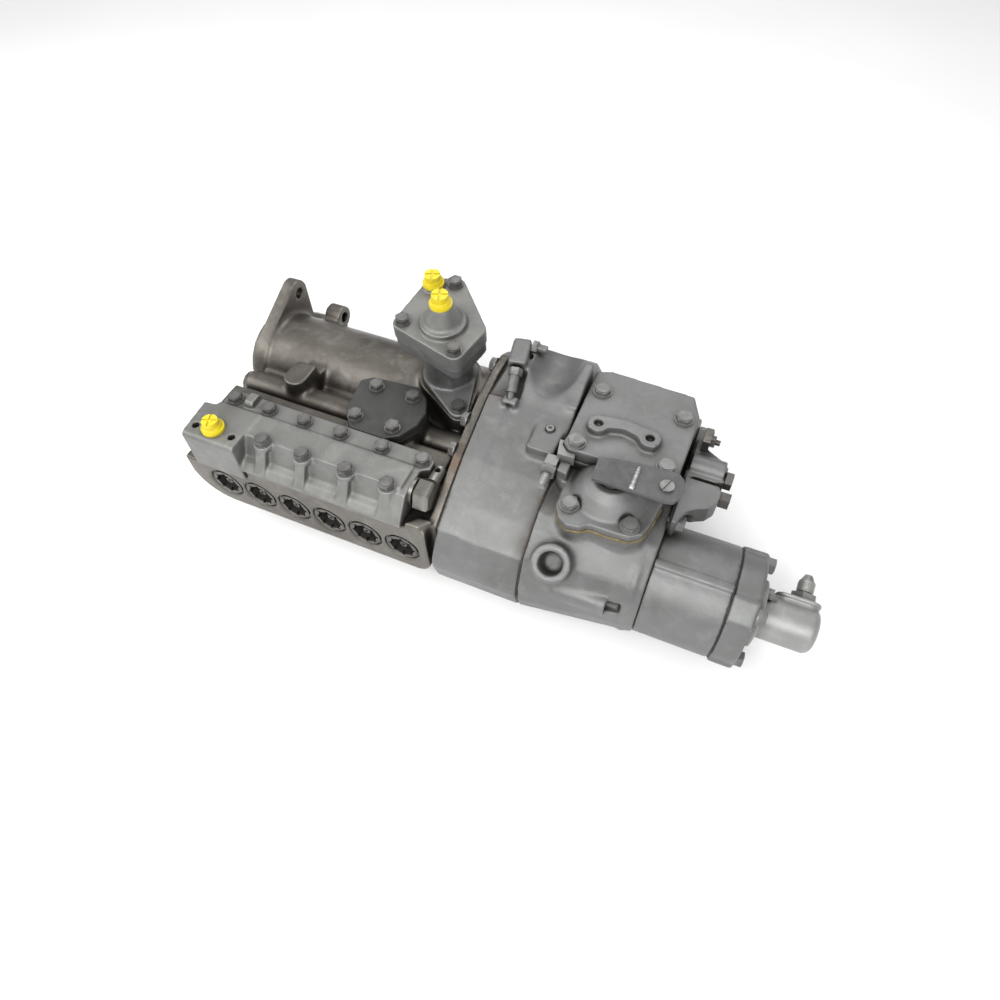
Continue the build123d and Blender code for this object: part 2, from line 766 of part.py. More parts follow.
with BuildPart() as transfer_pump_cover:
    with BuildSketch(tp_plane(TP_PLATE_H)):
        tp_outline(0)
    extrude(amount=TP_TOP_H - TP_PLATE_H)
    # raised ring and the cone of the outlet port
    with BuildSketch(tp_plane(TP_TOP_H)):
        Circle(21.5)
    extrude(amount=6)
    with BuildSketch(tp_plane(TP_TOP_H + 6)):
        Circle(17.5)
    with BuildSketch(tp_plane(TP_TOP_H + 24)):
        Circle(10)
    loft()
    # inlet port boss
    with BuildSketch(tp_plane(TP_TOP_H)):
        with Locations((-31, 43.5)):
            Circle(10.2)
    extrude(amount=3)
    with BuildSketch(tp_plane(TP_PLATE_H - 1)):
        Circle(15)
    extrude(amount=8, mode=Mode.SUBTRACT)
    with BuildSketch(tp_plane(TP_PLATE_H)):
        Circle(6.5)
    extrude(amount=44, mode=Mode.SUBTRACT)
    with BuildSketch(tp_plane(TP_PLATE_H - 1)):
        with Locations((-31, 43.5)):
            Circle(6.5)
    extrude(amount=40, mode=Mode.SUBTRACT)
    with BuildSketch(tp_plane(TP_PLATE_H - 1)):
        for p in TP_COVER:
            with Locations(p):
                Circle(3.4)
    extrude(amount=40, mode=Mode.SUBTRACT)
save("transfer_pump_cover", transfer_pump_cover)

with BuildPart() as transfer_pump_piston:
    with BuildSketch(tp_plane(20.5)):
        Circle(3.4)
    extrude(amount=54)
    with BuildSketch(tp_plane(74.5)):
        Circle(14.95)
    extrude(amount=10)
    with BuildSketch(tp_plane(80)):
        Circle(11)
    extrude(amount=10, mode=Mode.SUBTRACT)
save("transfer_pump_piston", transfer_pump_piston)

spring_tp = coil(8.6, 2.0, 3.6, 14.4)
with BuildPart() as transfer_pump_spring:
    with Locations(tp_plane(81.05).location):
        add(spring_tp)
save("transfer_pump_spring", transfer_pump_spring)

bolt_set("housing_bolts", [top(RAIL_TOP + GASKET + 20, *p) for p in MAN_REAR] + [top(MAN_TOP, *p) for p in MAN_FRONT]
         + [(top(60, *p), 22) for p in ACCESS]
         + [(tp_plane(TP_TOP_H, *p), 24) for p in TP_COVER] + [(tp_plane(TP_BASE_H + 5, *p), 24) for p in TP_BASE], length=34)


# yellow closing caps of the three open fuel ports
with BuildPart() as port_caps:
    for pl, rt in ((top(MAN_TOP + 1, 61.8, -162), 7.2), (tp_plane(TP_TOP_H + 24), 7.6), (tp_plane(TP_TOP_H + 3, -31, 43.5), 7.6)):
        with BuildSketch(pl.offset(-8)):
            Circle(6.45)
            Circle(4.5, mode=Mode.SUBTRACT)
        extrude(amount=8)
        with BuildSketch(pl):
            Circle(10.4)
        extrude(amount=3.0)
        with BuildSketch(pl.offset(3.0)):
            Circle(9.2)
        with BuildSketch(pl.offset(6.5)):
            Circle(rt + 0.8)
        loft()
        with BuildSketch(pl.offset(6.5)):
            Circle(rt)
        extrude(amount=5)
        # crossed slots in the head
        with BuildSketch(pl.offset(10.5)):
            Rectangle(2.2, 20, rotation=20)
            Rectangle(20, 2.2, rotation=20)
        extrude(amount=2, mode=Mode.SUBTRACT)
save("port_caps", port_caps)

# ---------------------------------------------------------------------------
# Governor, centre housing
# ---------------------------------------------------------------------------
LUG_DIR = Vector(3.5, -20, -12).normalized()
LUG_ORIGIN = Vector(300.6, -28, 109)


def lug_plane(d):
    return Plane(origin=LUG_ORIGIN + LUG_DIR * d, x_dir=(1, 0.175, 0), z_dir=LUG_DIR)


with BuildPart() as governor_housing_center:
    with BuildSketch(xplane(X_SPLIT1 + GASKET)):
        with BuildLine():
            Polyline(*GOV_OUT, close=True)
        make_face()
    extrude(amount=X_SPLIT2 - X_SPLIT1 - GASKET)
    # machined band next to the joint
    with BuildSketch(xplane(X_SPLIT1 + GASKET)):
        with BuildLine():
            Polyline((-165, 30), (-166.9, 36.8), (-142.6, 53.2), (-107.4, 71.3), (-51.4, 93.3), (-23, 80), (-100, 50), close=True)
        make_face()
    extrude(amount=19)
    # rounded ridge along the lower front
    with BuildSketch(xplane(X_SPLIT1 + GASKET + 1)):
        with Locations((-171, 6)):
            Circle(12.5)
    extrude(amount=X_SPLIT2 - X_SPLIT1 - GASKET - 2)
    # recess in the top next to the joint
    with BuildSketch(top(90)):
        with BuildLine():
            Polyline((280, -50), (312, -50), (310, -28), (307, 30), (280, 30), close=True)
        make_face()
    extrude(amount=40, mode=Mode.SUBTRACT)
    # lug that stands over the recess, and the raised end wall
    with BuildSketch(top(100)):
        with Locations((297.8, -12)):
            RectangleRounded(16.5, 31, 2.5, rotation=11)
    extrude(amount=16)
    with BuildSketch(top(84)):
        with Locations((301, -5)):
            Rectangle(10, 14)
    extrude(amount=18)
    with BuildSketch(xplane(354)):
        with BuildLine():
            Polyline((-50, 84), (-44, 99), (-6, 106), (6, 104), (12, 96), (4, 84), close=True)
        make_face()
    extrude(amount=9)
    # scooped top between the lug and the end wall
    with BuildSketch(front(20)):
        with Locations((332.5, 124)):
            Circle(26)
    extrude(amount=75, mode=Mode.SUBTRACT)
    # seat of the small plug
    with BuildSketch(xplane(305, 1, 111)):
        Circle(6.2)
    extrude(amount=16, mode=Mode.SUBTRACT)
    # guide of the long screw
    with BuildSketch(top(80)):
        with Locations((305.5, -54)):
            Rectangle(13, 9)
    extrude(amount=18)
    for d, rad, ln in ((-2, 6.6, 10), (7, 4.7, 16), (20, 3.1, 16)):
        with BuildSketch(lug_plane(d)):
            Circle(rad)
        extrude(amount=ln, mode=Mode.SUBTRACT)
    # pad of the set screw
    with BuildSketch(top(60)):
        with Locations((347, -75)):
            RectangleRounded(25, 30, 3)
    extrude(amount=28)
    # inside
    with BuildSketch(xplane(X_SPLIT1)):
        with BuildLine():
            Polyline(*GOV_IN, close=True)
        make_face()
    extrude(amount=X_SPLIT2 - X_SPLIT1 + 5, mode=Mode.SUBTRACT)
    with BuildSketch(xplane(X_SPLIT1)):
        for p in JOINT_SCREWS:
            with Locations(p):
                Circle(3.4)
    extrude(amount=22, mode=Mode.SUBTRACT)
    # set screw, plug and link holes
    with BuildSketch(top(76, 347, -65)):
        Circle(3.5)
    extrude(amount=20, mode=Mode.SUBTRACT)
save("governor_housing_center", governor_housing_center)

bolt_set("housing_joint_bolts", [Plane(origin=(X_SPLIT1 - 9, y, z), x_dir=(0, 1, 0), z_dir=(-1, 0, 0)) for y, z in JOINT_SCREWS], length=30, dish=False)


with BuildPart() as housing_screws:
    # long screw from the lug down to its guide
    with BuildSketch(lug_plane(0.5)):
        RegularPolygon(5.4, 6, major_radius=False)
    extrude(amount=6.5)
    with BuildSketch(lug_plane(7)):
        Circle(4.6)
    extrude(amount=15)
    with BuildSketch(lug_plane(21)):
        Circle(3.0)
    extrude(amount=9)
    with BuildSketch(top(77, 347, -65)):
        Circle(3.4)
    extrude(amount=12.5)
    with BuildSketch(top(88.5, 347, -65)):
        Circle(1.8)
    extrude(amount=2, mode=Mode.SUBTRACT)
    with BuildSketch(xplane(305, 1, 111)):
        RegularPolygon(5.0, 6, major_radius=False)
    extrude(amount=5)
    with BuildSketch(xplane(310, 1, 111)):
        Circle(3.6)
    extrude(amount=8)
save("housing_screws", housing_screws)


# ---------------------------------------------------------------------------
# Governor, rear housing
# ---------------------------------------------------------------------------

with BuildPart() as governor_gaskets:
    with BuildSketch(xplane(X_SPLIT1)):
        with BuildLine():
            Polyline((-164, -22), (-166, -4), (-164, 37), (-142, 50), (-107, 68), (-51, 88), (-23, 89.5), (0, 89.5), (14, 84), (44, 58), (48, 40), (48, -44), (38, -57), (-138, -57), (-162, -40), close=True)
        make_face()
        with BuildLine():
            Polyline((-152, -18), (-154, -4), (-152, 25), (-136, 42), (-104, 58), (-54, 76), (-24, 78), (-4, 78), (8, 72), (35, 54), (39, 38), (39, -38), (32, -49), (-132, -49), (-148, -36), close=True)
        make_face(mode=Mode.SUBTRACT)
        for p in JOINT_SCREWS:
            with Locations(p):
                Circle(3.4, mode=Mode.SUBTRACT)
    extrude(amount=GASKET)
    with BuildSketch(xplane(X_SPLIT2)):
        with BuildLine():
            Polyline((-141, -56), (-165, -39), (-175, -21), (-180, -4), (-180, 13), (-174, 29), (-168, 45), (-149.5, 60), (-134.5, 68), (-88, 68), (13, 68), (44, 52), (47, 40), (47, -43), (37, -56), close=True)
        make_face()
        with BuildLine():
            Polyline((-138, -48), (-157, -35), (-166, -20), (-170, -4), (-170, 10), (-162, 24), (-136, 42), (-104, 56), (-10, 58), (30, 48), (38, 38), (38, -38), (32, -48), close=True)
        make_face(mode=Mode.SUBTRACT)
    extrude(amount=GASKET)
save("governor_gaskets", governor_gaskets)

X_R0 = X_SPLIT2 + GASKET
REAR_A = [(-142, FLOOR_Z + 1), (-166, -40), (-176, -22), (-181, -4), (-181, 14), (-175, 30), (-169, 46), (-150, 61), (-135, 69), (-88, 69), (14, 69), (46, 52), (48, 40), (48, -44), (38, FLOOR_Z + 1)]
REAR_B = [(-140, -44), (-156, -33), (-165, -18), (-169, -2), (-169, 12), (-164, 26), (-155, 38), (-142, 48), (-125, 58), (-88, 62), (10, 62), (32, 50), (38, 38), (38, -40), (30, -50)]
with BuildPart() as governor_housing_rear:
    for pts, x in ((REAR_A, X_R0), (REAR_B, X_REAR)):
        with BuildSketch(xplane(x)):
            with BuildLine():
                Polyline(*pts, close=True)
            make_face()
    loft(ruled=True)
    # raised seats of the two covers
    with BuildSketch(top(40)):
        with BuildLine():
            Polyline(*TOPC_OUT, close=True)
        make_face()
        offset(amount=-0.4)
    extrude(amount=46)
    with BuildSketch(top(40)):
        with BuildLine():
            Polyline(*FRONTC_OUT, close=True)
        make_face()
        offset(amount=-0.4)
    extrude(amount=30)
    # large port boss on the sloping front
    with BuildSketch(Plane(origin=(388, -158, 40), x_dir=(1, 0, 0), z_dir=(0, -0.643, 0.766))):
        Circle(16.5)
    extrude(amount=19)
    # horizontal tube boss with its open end
    with BuildSketch(xplane(392, -168, 18)):
        Circle(10)
    extrude(amount=46)
    # raised rib round the neck
    with BuildSketch(xplane(453, RC_Y, RC_Z)):
        Circle(RC_R + 4)
    extrude(amount=3)
    # inside
    for pts, x in (([(-138, -48), (-157, -35), (-166, -20), (-170, -4), (-170, 10), (-162, 24), (-150, 36), (-136, 46), (-120, 56), (-88, 58), (0, 58), (30, 48), (38, 38), (38, -38), (32, -48)], X_R0 - 0.5),
                   ([(-136, -36), (-148, -26), (-156, -14), (-160, -2), (-160, 10), (-156, 20), (-148, 30), (-138, 38), (-122, 47), (-88, 52), (0, 52), (24, 42), (30, 32), (30, -32), (24, -40)], X_REAR - 9)):
        with BuildSketch(xplane(x)):
            with BuildLine():
                Polyline(*pts, close=True)
            make_face()
    loft(ruled=True, mode=Mode.SUBTRACT)
    with BuildSketch(top(44)):
        with Locations((413, -38)):
            RectangleRounded(70, 66, 8)
    extrude(amount=50, mode=Mode.SUBTRACT)
    with BuildSketch(top(44)):
        with Locations((413, -104)):
            RectangleRounded(40, 26, 6)
    extrude(amount=50, mode=Mode.SUBTRACT)
    with BuildSketch(xplane(X_REAR - 20, RC_Y, RC_Z)):
        Circle(38)
    extrude(amount=40, mode=Mode.SUBTRACT)
    with BuildSketch(Plane(origin=(388, -158, 40), x_dir=(1, 0, 0), z_dir=(0, -0.643, 0.766))):
        Circle(10)
    extrude(amount=40, mode=Mode.SUBTRACT)
    with BuildSketch(xplane(420, -168, 18)):
        Circle(5.6)
    extrude(amount=30, mode=Mode.SUBTRACT)
    with BuildSketch(top(66)):
        for p in TOPC:
            with Locations(p):
                Circle(3.4)
    extrude(amount=40, mode=Mode.SUBTRACT)
    with BuildSketch(top(55)):
        for p in FRONTC:
            with Locations(p):
                Circle(3.4)
    extrude(amount=40, mode=Mode.SUBTRACT)
    # guide of the spring seat shaft and holes of the end cover bolts
    with BuildSketch(xplane(450)):
        Circle(5)
    extrude(amount=9, mode=Mode.SUBTRACT)
    with BuildSketch(xplane(440)):
        for p in SETTING_BOLTS:
            with Locations(p):
                Circle(3.4)
    extrude(amount=30, mode=Mode.SUBTRACT)
save("governor_housing_rear", governor_housing_rear)


with BuildPart() as governor_top_cover:
    with BuildSketch(top(87)):
        with BuildLine():
            Polyline(*TOPC_OUT, close=True)
        make_face()
    extrude(amount=13)
    # arched cable bracket with its two screw holes
    with BuildSketch(top(100)):
        with BuildLine():
            Polyline((377.5, -59), (384, -51.5), (394, -49.5), (408, -48), (421, -50), (432, -51), (439, -58), (436, -68.5), (427, -69), (419, -61.5), (408, -58.5), (397, -61.5), (389, -69), (380, -67.5), close=True)
        make_face()
        for p in ((386.5, -60), (430, -60)):
            with Locations(p):
                Circle(9.2)
    extrude(amount=8)
    with BuildSketch(top(102)):
        for p in ((386.5, -60), (430, -60)):
            with Locations(p):
                Circle(3.6)
    extrude(amount=20, mode=Mode.SUBTRACT)
    with BuildSketch(top(87)):
        with Locations((413, -38)):
            RectangleRounded(66, 62, 8)
    extrude(amount=6, mode=Mode.SUBTRACT)
    with BuildSketch(top(80)):
        for p in TOPC:
            with Locations(p):
                Circle(3.4)
    extrude(amount=30, mode=Mode.SUBTRACT)
save("governor_top_cover", governor_top_cover)


with BuildPart() as cover_gaskets:
    with BuildSketch(top(86)):
        with BuildLine():
            Polyline(*TOPC_OUT, close=True)
        make_face()
        offset(amount=-0.8)
        with Locations((413, -38)):
            RectangleRounded(70, 66, 8, mode=Mode.SUBTRACT)
        for p in TOPC:
            with Locations(p):
                Circle(3.4, mode=Mode.SUBTRACT)
    extrude(amount=GASKET)
    with BuildSketch(top(70)):
        with BuildLine():
            Polyline(*FRONTC_OUT, close=True)
        make_face()
        with Locations((413, -104)):
            RectangleRounded(40, 26, 6, mode=Mode.SUBTRACT)
        for p in FRONTC:
            with Locations(p):
                Circle(3.4, mode=Mode.SUBTRACT)
    extrude(amount=GASKET)
save("cover_gaskets", cover_gaskets)

LEV_X, LEV_Y = 413.0, -100.5
with BuildPart() as governor_front_cover:
    with BuildSketch(top(71)):
        with BuildLine():
            Polyline(*FRONTC_OUT, close=True)
        make_face()
    extrude(amount=8)
    # swelling that carries the throttle shaft
    with BuildSketch(top(79, LEV_X, LEV_Y)):
        Circle(33)
    with BuildSketch(top(90, LEV_X, LEV_Y)):
        Circle(23.5)
    loft()
    with BuildSketch(top(90, LEV_X, LEV_Y)):
        Circle(23.5)
    with BuildSketch(top(95.5, LEV_X, LEV_Y)):
        Circle(16)
    loft()
    # stop lug beside it
    with BuildSketch(top(79)):
        with BuildLine():
            Polyline((367.2, -95.4), (376.6, -95.4), (377.1, -106.8), (367.4, -105.5), close=True)
        make_face()
    extrude(amount=11)
    with BuildSketch(top(79.01)):
        with Locations((413, -39.5)):
            Rectangle(140, 100)
    extrude(amount=30, mode=Mode.SUBTRACT)
    with BuildSketch(top(79)):
        for p in FRONTC:
            with Locations(p):
                Circle(9.4)
    extrude(amount=30, mode=Mode.SUBTRACT)
    with BuildSketch(top(92.5, LEV_X, LEV_Y)):
        Circle(11)
        Circle(8.4, mode=Mode.SUBTRACT)
    extrude(amount=10, mode=Mode.SUBTRACT)
    with BuildSketch(top(60, LEV_X, LEV_Y)):
        Circle(6.04)
    extrude(amount=40, mode=Mode.SUBTRACT)
    with BuildSketch(top(60)):
        for p in FRONTC:
            with Locations(p):
                Circle(3.4)
    extrude(amount=40, mode=Mode.SUBTRACT)
save("governor_front_cover", governor_front_cover)
bolt_set("governor_cover_bolts", [top(100, *p) for p in TOPC] + [(top(79, *p), 22) for p in FRONTC], af=13, head=3.5, washer=8.2, wash_t=1.0, length=30)

# ---------------------------------------------------------------------------
# Throttle shaft and lever plate
# ---------------------------------------------------------------------------
with BuildPart() as throttle_shaft:
    with BuildSketch(top(46, LEV_X, LEV_Y)):
        Circle(6)
    extrude(amount=59.6)
    # arm inside the housing
    with BuildSketch(top(44, LEV_X, LEV_Y)):
        Circle(8)
        with Locations((-17, 0)):
            Circle(4)
        make_hull()
    extrude(amount=6)
    with BuildSketch(top(36, LEV_X, LEV_Y)):
        with Locations((-17, 0)):
            Circle(2.5)
    extrude(amount=10)
save("throttle_shaft", throttle_shaft)

LEVER_Z, LEVER_T = 105.6, 3.4
LEVER_SCREW = (455.0, -104.0)
with BuildPart() as throttle_lever:
    with BuildSketch(top(LEVER_Z)):
        with BuildLine():
            Polyline((398.1, -94.6), (399.6, -117.3), (458.1, -117.2), (463.4, -115.6), (467.2, -109.5), (467.9, -98.7), (465.7, -92.4), (461.4, -88.4), (456.8, -87.4), (434.9, -88.8), (414, -91.5), (404, -93.6), close=True)
        make_face()
        with Locations(LEVER_SCREW):
            Circle(3.0, mode=Mode.SUBTRACT)
    extrude(amount=LEVER_T)
    # hub under the plate
    with BuildSketch(top(96.3, LEV_X, LEV_Y)):
        Circle(10)
        Circle(6.0, mode=Mode.SUBTRACT)
    extrude(amount=LEVER_Z - 96.3)
    # weld bead across the plate
    with BuildSketch(top(LEVER_Z + LEVER_T)):
        with Locations((430.5, -105)):
            Rectangle(2.4, 24)
    extrude(amount=0.9)
save("throttle_lever", throttle_lever)

with BuildPart() as lever_screw:
    with BuildSketch(top(LEVER_Z + LEVER_T, *LEVER_SCREW)):
        Circle(5.6)
    extrude(amount=2.4)
    with BuildSketch(top(LEVER_Z - 1.5, *LEVER_SCREW)):
        Circle(3.0)
    extrude(amount=LEVER_T + 1.5)
    with BuildSketch(top(LEVER_Z + LEVER_T + 1.2, *LEVER_SCREW)):
        Rectangle(1.5, 12, rotation=-20)
    extrude(amount=3, mode=Mode.SUBTRACT)
save("lever_screw", lever_screw)

# ---------------------------------------------------------------------------
# Stop screw group beside the lever
# ---------------------------------------------------------------------------
with BuildPart() as stop_bracket:
    # lug at the corner of the top cover, and the block of the set screw
    with BuildSketch(top(86.0)):
        with BuildLine():
            Polyline((360.8, -79), (364.3, -79), (364.3, -83.4), (370.6, -89.6), (377.5, -89.6), (378.1, -93.8), (363.8, -94.4), close=True)
        make_face()
    extrude(amount=10)
    with BuildSketch(top(81.5)):
        with BuildLine():
            Polyline((356, -93.4), (366.2, -93.4), (366.2, -103.6), (356, -103.6), close=True)
        make_face()
    extrude(amount=10.5)
save("stop_bracket", stop_bracket)

STOP_Z, STOP_X = 86.5, 361.0
with BuildPart() as stop_screw:
    # set screw with its lock nut, threaded into the block
    with BuildSketch(front(-103.6, STOP_X, STOP_Z)):
        RegularPolygon(5.8, 6, major_radius=False, rotation=30)
    extrude(amount=7)
    with BuildSketch(front(-110.6, STOP_X, STOP_Z)):
        Circle(3.5)
    extrude(amount=13.5)
save("stop_screw", stop_screw)

# ---------------------------------------------------------------------------
# Setting cover on the end of the rear housing, with its adjusters
# ---------------------------------------------------------------------------
with BuildPart() as setting_cover:
    # flange on the end face of the rear housing
    with BuildSketch(xplane(X_REAR)):
        with BuildLine():
            Polyline((15, 50), (14, 60), (4, 66), (-18, 70), (-52, 72), (-92, 66), (-104, 63), (-104, 53.5), (-60, 45), (-4, 46), close=True)
        make_face()
    extrude(amount=6)
    # upper body with the barrel of the adjuster
    with BuildSketch(top(52)):
        with BuildLine():
            Polyline((466, -12), (472, -14), (477, -22), (493, -31), (497, -36), (497, -52), (488, -55), (466, -55), close=True)
        make_face()
    extrude(amount=20)
    with BuildSketch(xplane(466, -41, 69)):
        Circle(10.5)
    extrude(amount=29)
    # lower body, sweeping back to the housing
    with BuildSketch(top(52)):
        with BuildLine():
            Polyline((466, -56), (470, -57.5), (494, -57.5), (497.5, -62), (496.5, -74), (491, -82), (483, -86), (476, -91), (472, -99), (470, -106), (466, -106), close=True)
        make_face()
    extrude(amount=20)
    with BuildSketch(top(60)):
        with Locations((484, -56)):
            Rectangle(26, 3)
    extrude(amount=30, mode=Mode.SUBTRACT)
    # hollow
    with BuildSketch(xplane(460, -41, 66)):
        Circle(4)
    extrude(amount=36, mode=Mode.SUBTRACT)
    with BuildSketch(xplane(460)):
        for p in SETTING_BOLTS:
            with Locations(p):
                Circle(3.4)
    extrude(amount=40, mode=Mode.SUBTRACT)
    with BuildSketch(xplane(X_REAR + 6)):
        for p in SETTING_BOLTS:
            with Locations(p):
                Circle(9)
    extrude(amount=30, mode=Mode.SUBTRACT)
save("setting_cover", setting_cover)


with BuildPart() as setting_adjusters:
    with BuildSketch(xplane(480, -41, 66)):
        Circle(3.9)
    extrude(amount=15)
    with BuildSketch(xplane(497, -46, 68)):
        RegularPolygon(6.5, 6, major_radius=False, rotation=30)
    extrude(amount=6)
    with BuildSketch(xplane(497.5, -62, 62)):
        RegularPolygon(6.5, 6, major_radius=False, rotation=10)
    extrude(amount=8)
    # small block with a lock nut and stud beside the cover
    with BuildSketch(xplane(470, -17, 78.5)):
        RectangleRounded(17, 13, 2)
    extrude(amount=6)
    with BuildSketch(xplane(476, -18, 79)):
        RegularPolygon(4.6, 6, major_radius=False)
    extrude(amount=4)
    with BuildSketch(xplane(480, -18, 79)):
        Circle(2.4)
    extrude(amount=4)
save("setting_adjusters", setting_adjusters)

# ---------------------------------------------------------------------------
# Air-fuel ratio control on the end of the governor
# ---------------------------------------------------------------------------
RC_BOLTS = [(41.0 * math.cos(math.radians(a)), 41.0 * math.sin(math.radians(a))) for a in (35, 125, 215, 305)]
X_RC1, X_RC2 = 528.0, 550.0
with BuildPart() as ratio_control_body:
    with BuildSketch(xplane(X_REAR, RC_Y, RC_Z)):
        Circle(RC_R)
        with Locations((-14, 45)):
            Rectangle(6, 7.5, rotation=18)
    extrude(amount=X_RC1 - X_REAR)
    with BuildSketch(xplane(X_REAR - 3, RC_Y, RC_Z)):
        Circle(37.9)
    extrude(amount=3)
    with BuildSketch(xplane(X_REAR + 6, RC_Y, RC_Z)):
        Circle(34)
    extrude(amount=80, mode=Mode.SUBTRACT)
    with BuildSketch(xplane(X_REAR - 5, RC_Y, RC_Z)):
        Circle(5.04)
    extrude(amount=20, mode=Mode.SUBTRACT)
    with BuildSketch(xplane(X_RC1 - 16, RC_Y, RC_Z)):
        for p in RC_BOLTS:
            with Locations(p):
                Circle(3.4)
    extrude(amount=20, mode=Mode.SUBTRACT)
save("ratio_control_body", ratio_control_body)

with BuildPart() as ratio_control_cover:
    with BuildSketch(xplane(X_RC1 + 1.2, RC_Y, RC_Z)):
        Circle(48.2)
        with Locations(*[Location((43.2 * math.cos(math.radians(a)), 43.2 * math.sin(math.radians(a)), 0), (0, 0, a)) for a in (35, 125, 215, 305)]):
            RectangleRounded(14, 25, 4)
    extrude(amount=X_RC2 - X_RC1 - 1.2)
    chamfer(ratio_control_cover.faces().sort_by(Axis.X)[-1].edges(), 1.2)
    with BuildSketch(xplane(X_RC1, RC_Y, RC_Z)):
        Circle(30)
    extrude(amount=12, mode=Mode.SUBTRACT)
    with BuildSketch(xplane(X_RC1, RC_Y, RC_Z)):
        Circle(8)
        for p in RC_BOLTS:
            with Locations(p):
                Circle(3.4)
    extrude(amount=40, mode=Mode.SUBTRACT)
save("ratio_control_cover", ratio_control_cover)

with BuildPart() as ratio_diaphragm:
    with BuildSketch(xplane(X_RC1, RC_Y, RC_Z)):
        Circle(47.8)
        Circle(12.4, mode=Mode.SUBTRACT)
        for p in RC_BOLTS:
            with Locations(p):
                Circle(3.5, mode=Mode.SUBTRACT)
    extrude(amount=1.2)
save("ratio_diaphragm", ratio_diaphragm)

with BuildPart() as ratio_rod:
    with BuildSketch(xplane(446, RC_Y, RC_Z)):
        Circle(5)
    extrude(amount=80)
    with BuildSketch(xplane(517, RC_Y, RC_Z)):
        Circle(24)
    extrude(amount=3)
    with BuildSketch(xplane(520, RC_Y, RC_Z)):
        Circle(12)
    extrude(amount=12)
save("ratio_rod", ratio_rod)

spring_r = coil(16, 2.6, 8.0, 36.0)
with BuildPart() as ratio_spring:
    with Locations(Location((479.6, RC_Y, RC_Z), (0, 90, 0))):
        add(spring_r)
save("ratio_spring", ratio_spring)

bolt_set("ratio_control_bolts", [xplane(X_RC2, RC_Y + y, RC_Z + z) for y, z in RC_BOLTS]
         + [(xplane(X_REAR + 6, *p), 20) for p in SETTING_BOLTS], af=13, head=6, washer=7.6, length=34)

ED = Vector(0, math.cos(math.radians(15)), math.sin(math.radians(15)))


def end_plane(x, d):
    # square to the air fitting, d from the cap axis
    return Plane(origin=(x, RC_Y + ED.Y * d, RC_Z + ED.Z * d), x_dir=(1, 0, 0), z_dir=ED)


CAP_BOLTS = [(23.5 * math.cos(math.radians(a)), 23.5 * math.sin(math.radians(a))) for a in (70, 250)]
with BuildPart() as end_cap:
    with BuildSketch(xplane(X_RC2, RC_Y, RC_Z)):
        Circle(29)
    extrude(amount=7)
    with BuildSketch(xplane(X_RC2, RC_Y, RC_Z)):
        Circle(19.5)
    extrude(amount=53)
    fillet(end_cap.faces().sort_by(Axis.X)[-1].edges(), 7)
    with BuildSketch(end_plane(583.5, 4)):
        RectangleRounded(33, 27, 8)
    extrude(amount=14)
    with BuildSketch(end_plane(583.5, 18)):
        RectangleRounded(37, 31, 9)
    extrude(amount=3)
    with BuildSketch(xplane(X_RC2, RC_Y, RC_Z)):
        Circle(8)
    extrude(amount=40, mode=Mode.SUBTRACT)
    with BuildSketch(end_plane(588, 0)):
        Circle(6)
    extrude(amount=40, mode=Mode.SUBTRACT)
    with BuildSketch(xplane(X_RC2 - 1, RC_Y, RC_Z)):
        for p in CAP_BOLTS:
            with Locations(p):
                Circle(2.6)
    extrude(amount=12, mode=Mode.SUBTRACT)
    with BuildSketch(xplane(X_RC2 + 7, RC_Y, RC_Z)):
        for p in CAP_BOLTS:
            with Locations(p):
                Circle(5.6)
    extrude(amount=9, mode=Mode.SUBTRACT)
save("end_cap", end_cap)

with BuildPart() as end_cap_bolts:
    for p in CAP_BOLTS:
        pl = xplane(X_RC2 + 7, RC_Y + p[0], RC_Z + p[1])
        with BuildSketch(pl):
            RegularPolygon(4.4, 6, major_radius=False)
        extrude(amount=4.5)
        with BuildSketch(pl):
            Circle(2.5)
        extrude(amount=-6.5)
save("end_cap_bolts", end_cap_bolts)

with BuildPart() as air_fitting:
    with BuildSketch(end_plane(588, 11)):
        Circle(5.9)
    extrude(amount=11)
    with BuildSketch(end_plane(588, 21)):
        RegularPolygon(9.5, 6, major_radius=False, rotation=14)
    extrude(amount=7)
    with BuildSketch(end_plane(588, 28)):
        Circle(5.4)
    extrude(amount=3)
    with BuildSketch(end_plane(588, 30)):
        Circle(6.6)
    extrude(amount=10)
    with BuildSketch(end_plane(588, 40)):
        Circle(6.0)
    with BuildSketch(end_plane(588, 46)):
        Circle(3.3)
    loft()
    with BuildSketch(end_plane(588, 9)):
        Circle(2.2)
    extrude(amount=60, mode=Mode.SUBTRACT)
save("air_fitting", air_fitting)

# ---------------------------------------------------------------------------
# Governor mechanism on the end of the camshaft
# ---------------------------------------------------------------------------
FW_X, FW_Y, FW_PIN = 300.0, 22.0, 2.5
with BuildPart() as flyweight_carrier:
    with BuildSketch(xplane(288)):
        Circle(30)
    extrude(amount=6)
    with BuildSketch(xplane(284.5)):
        Circle(17)
    extrude(amount=4)
    for zs in (-1, 1):
        with BuildSketch(top(9.4 if zs > 0 else -13.4)):
            with Locations((297.5, FW_Y), (297.5, -FW_Y)):
                RectangleRounded(14, 11, 3)
        extrude(amount=4)
    with BuildSketch(top(-13.4)):
        with Locations((FW_X, FW_Y), (FW_X, -FW_Y)):
            Circle(FW_PIN)
    extrude(amount=26.8)
    with BuildSketch(xplane(284)):
        Circle(11)
    extrude(amount=12, mode=Mode.SUBTRACT)
save("flyweight_carrier", flyweight_carrier)

